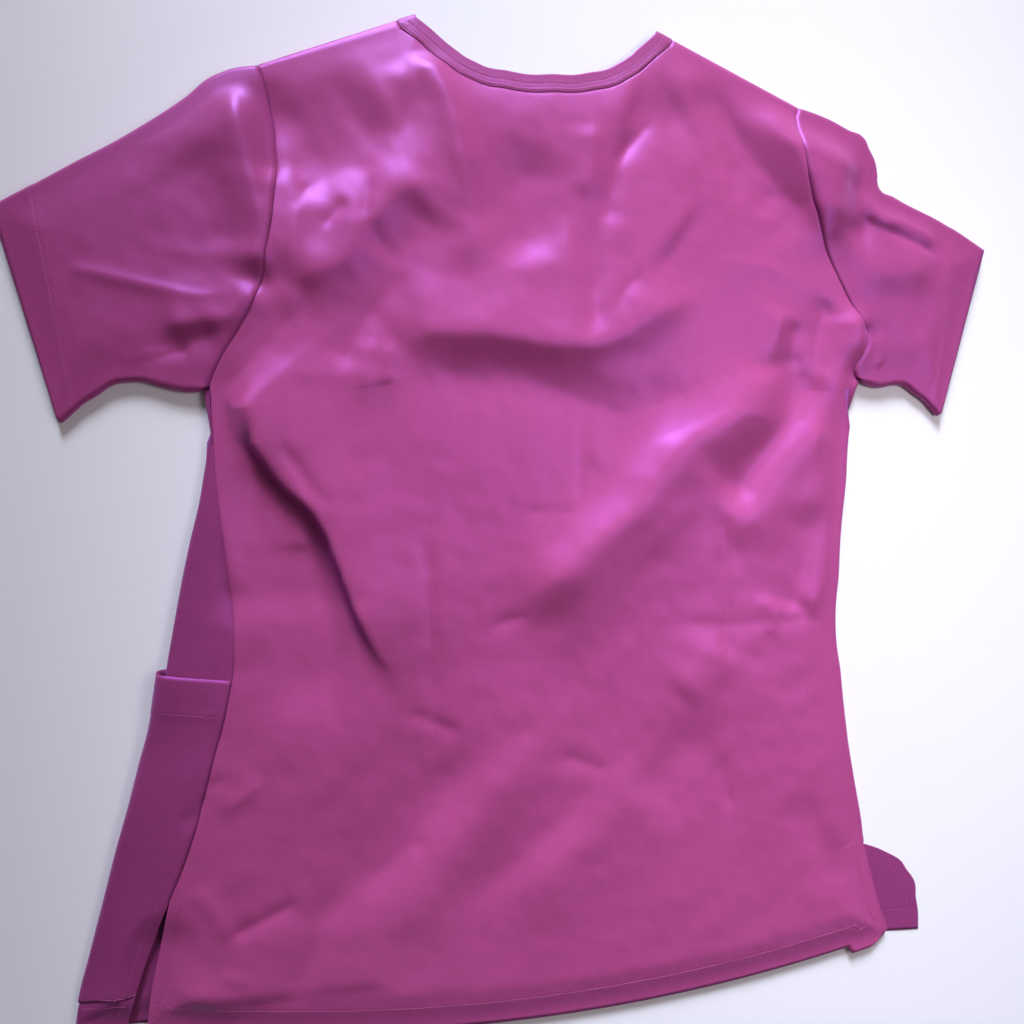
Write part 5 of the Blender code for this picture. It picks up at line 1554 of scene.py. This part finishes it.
def dress_sleeve(which):
    """A sleeve, whose rings run the other way round at the right."""
    rings = sleeve_rings(which)
    plan = ring_plan(rings)
    flip = which == "right"
    layers, sewn, folds = [(plan, rings)], [plan[0], plan[:, SLEEVE_SEAM]], [([plan[-1]], CUFF_FOLD)]
    piece = cloth(which + "_sleeve_cloth", layers, sewn, folds, closed=True, flip=flip)
    cuff_row = ring_row(rings, plan, CUFF_FOLD - STITCH_IN, -1 if flip else 1)
    stitched = stitching(which + "_cuff_stitches", [cuff_row])
    finish_piece(piece, which + "_sleeve", f"poplin_{which}_sleeve")


def dress_band(which, line, hand, surface):
    """A neckband. hand is 1 for the back's, which faces up at its line's right hand, and -1 for the
    front's, which faces down at its left."""
    name = which + "_band"
    lines = np.array([beside(line, hand * BAND_WIDTH * share) for share in BAND_SHARES])
    rows = [([line[::2]], share * BAND_WIDTH) for share in BAND_ROWS]
    sewn = [lines[-1][::2], lines[:, 0], lines[:, -1]]
    layers = laid(surface, [lines])
    piece = cloth(name, layers, sewn, (), rows, BAND_WALL, BAND_SHEET, flip=True)
    paths = [row_on(surface, line, hand * share * BAND_WIDTH, hand, BAND_WALL) for share in BAND_ROWS]
    stitched = stitching(name + "_stitches", paths)
    finish_piece(piece, which + "_neckband", "band_" + which)


def dress_pocket():
    plan = pocket_points()
    foot, top, inner = plan[0], plan[-1], plan[:, 0]
    folds = [([top[::2]], POCKET_FOLD)]
    rows = [([foot[::2], inner], STITCH_IN)]
    piece = cloth("pocket", laid(pocket_surface, [plan]), [plan[:, -1]], folds, rows)
    beside_edges = (top, STITCH_IN - POCKET_FOLD), (foot, STITCH_IN), (inner, -STITCH_IN)
    paths = [row_on(pocket_surface, edge, distance, -1) for edge, distance in beside_edges]
    stitched = stitching("pocket_stitches", paths)
    finish_piece(piece, "left_pocket", "poplin_pocket")


def finish_piece(piece, node_name, slot):
    """Gives a piece its finish, hangs it on the root body and hides the solid that it stands in for."""
    piece.data.materials.append(FINISHES[slot])
    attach(piece, "root")
    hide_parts(node_name)


# ---------------------------------------------------------------- floor, light and camera


FLOOR_SIZE, FLOOR_COLOUR, FLOOR_ROUGHNESS = 6.0, (0.86, 0.86, 0.87), 0.85
# azimuth is counted from +X, spread is in degrees, and aim is the place on the floor that the lamp faces
LAMPS = listed(
    "name azimuth elevation distance width height spread aim power colour",
    ("window", 99, 25, 3.6, 0.7, 2.0, 28, (0.2, -0.06), 13.5, (0.82, 0.86, 1.04)),
    ("overhead", 10, 58, 0.8, 0.35, 0.35, 180, (0.0, 0.0), 2.4, (0.95, 0.86, 0.95)),
)
AMBIENT, AMBIENT_STRENGTH = (1.0, 0.84, 0.82), 0.09
CAMERA_LENS, CAMERA_SENSOR = 27.105, 36.0
CAMERA_PLACE, CAMERA_ANGLES = (-0.109, 0.0296, 0.520), (-1.83, -9.59, -0.81)


def floor_piece():
    bpy.ops.object.select_all(action="DESELECT")
    bpy.ops.mesh.primitive_plane_add(size=FLOOR_SIZE, location=(0, 0, 0))
    floor = bpy.context.object
    floor.name = "floor"
    material, _, shader = new_finish("floor")
    shader.inputs["Base Color"].default_value = (*FLOOR_COLOUR, 1.0)
    shader.inputs["Roughness"].default_value = FLOOR_ROUGHNESS
    floor.data.materials.append(material)
    floor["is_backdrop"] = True


def lamp(name, azimuth, elevation, distance, width, height, spread, aim, power, colour):
    """A soft lamp that faces its place on the floor from a distance, with its light kept to its spread."""
    a, e = math.radians(azimuth), math.radians(elevation)
    away = np.array([math.cos(a) * math.cos(e), math.sin(a) * math.cos(e), math.sin(e)])
    light = bpy.data.lights.new(name, "AREA")
    light.shape = "RECTANGLE"
    light.size, light.size_y = width, height
    light.spread = math.radians(spread)
    light.energy = power
    light.color = colour
    lamp_object = add_object(name, light)
    lamp_object.location = away * distance + np.array([*aim, 0.0])
    lamp_object.rotation_euler = Vector(away).to_track_quat("Z", "Y").to_euler()


def light_and_camera():
    for settings in LAMPS:
        lamp(**settings)
    world = bpy.data.worlds.new("studio")
    world.use_nodes = True
    background = world.node_tree.nodes["Background"]
    background.inputs["Color"].default_value = (*AMBIENT, 1.0)
    background.inputs["Strength"].default_value = AMBIENT_STRENGTH
    bpy.context.scene.world = world
    bpy.context.scene.view_settings.view_transform = "Standard"
    camera = bpy.data.cameras.new("camera")
    camera.lens, camera.sensor_width = CAMERA_LENS, CAMERA_SENSOR
    camera_object = add_object("camera", camera)
    camera_object.location = CAMERA_PLACE
    camera_object.rotation_euler = [math.radians(angle) for angle in CAMERA_ANGLES]
    bpy.context.scene.camera = camera_object


floor_piece()
GROUPS = (weave_group(), tone_group(), seam_group())
THREAD_FINISH = thread_finish()
FINISHES = {slot: poplin(slot, *colours) for slot, colours in COLOURS.items()}
dress_back()
dress_front()
dress_sleeve("left")
dress_sleeve("right")
dress_band("back", back_neck_line(), 1, back_band_surface)
dress_band("front", front_neck_line(), -1, front_band_surface)
dress_pocket()
light_and_camera()
sizes = {name: [list(corner) for corner in box] for name, box in (("cad", CAD_BOX), ("visual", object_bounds()))}
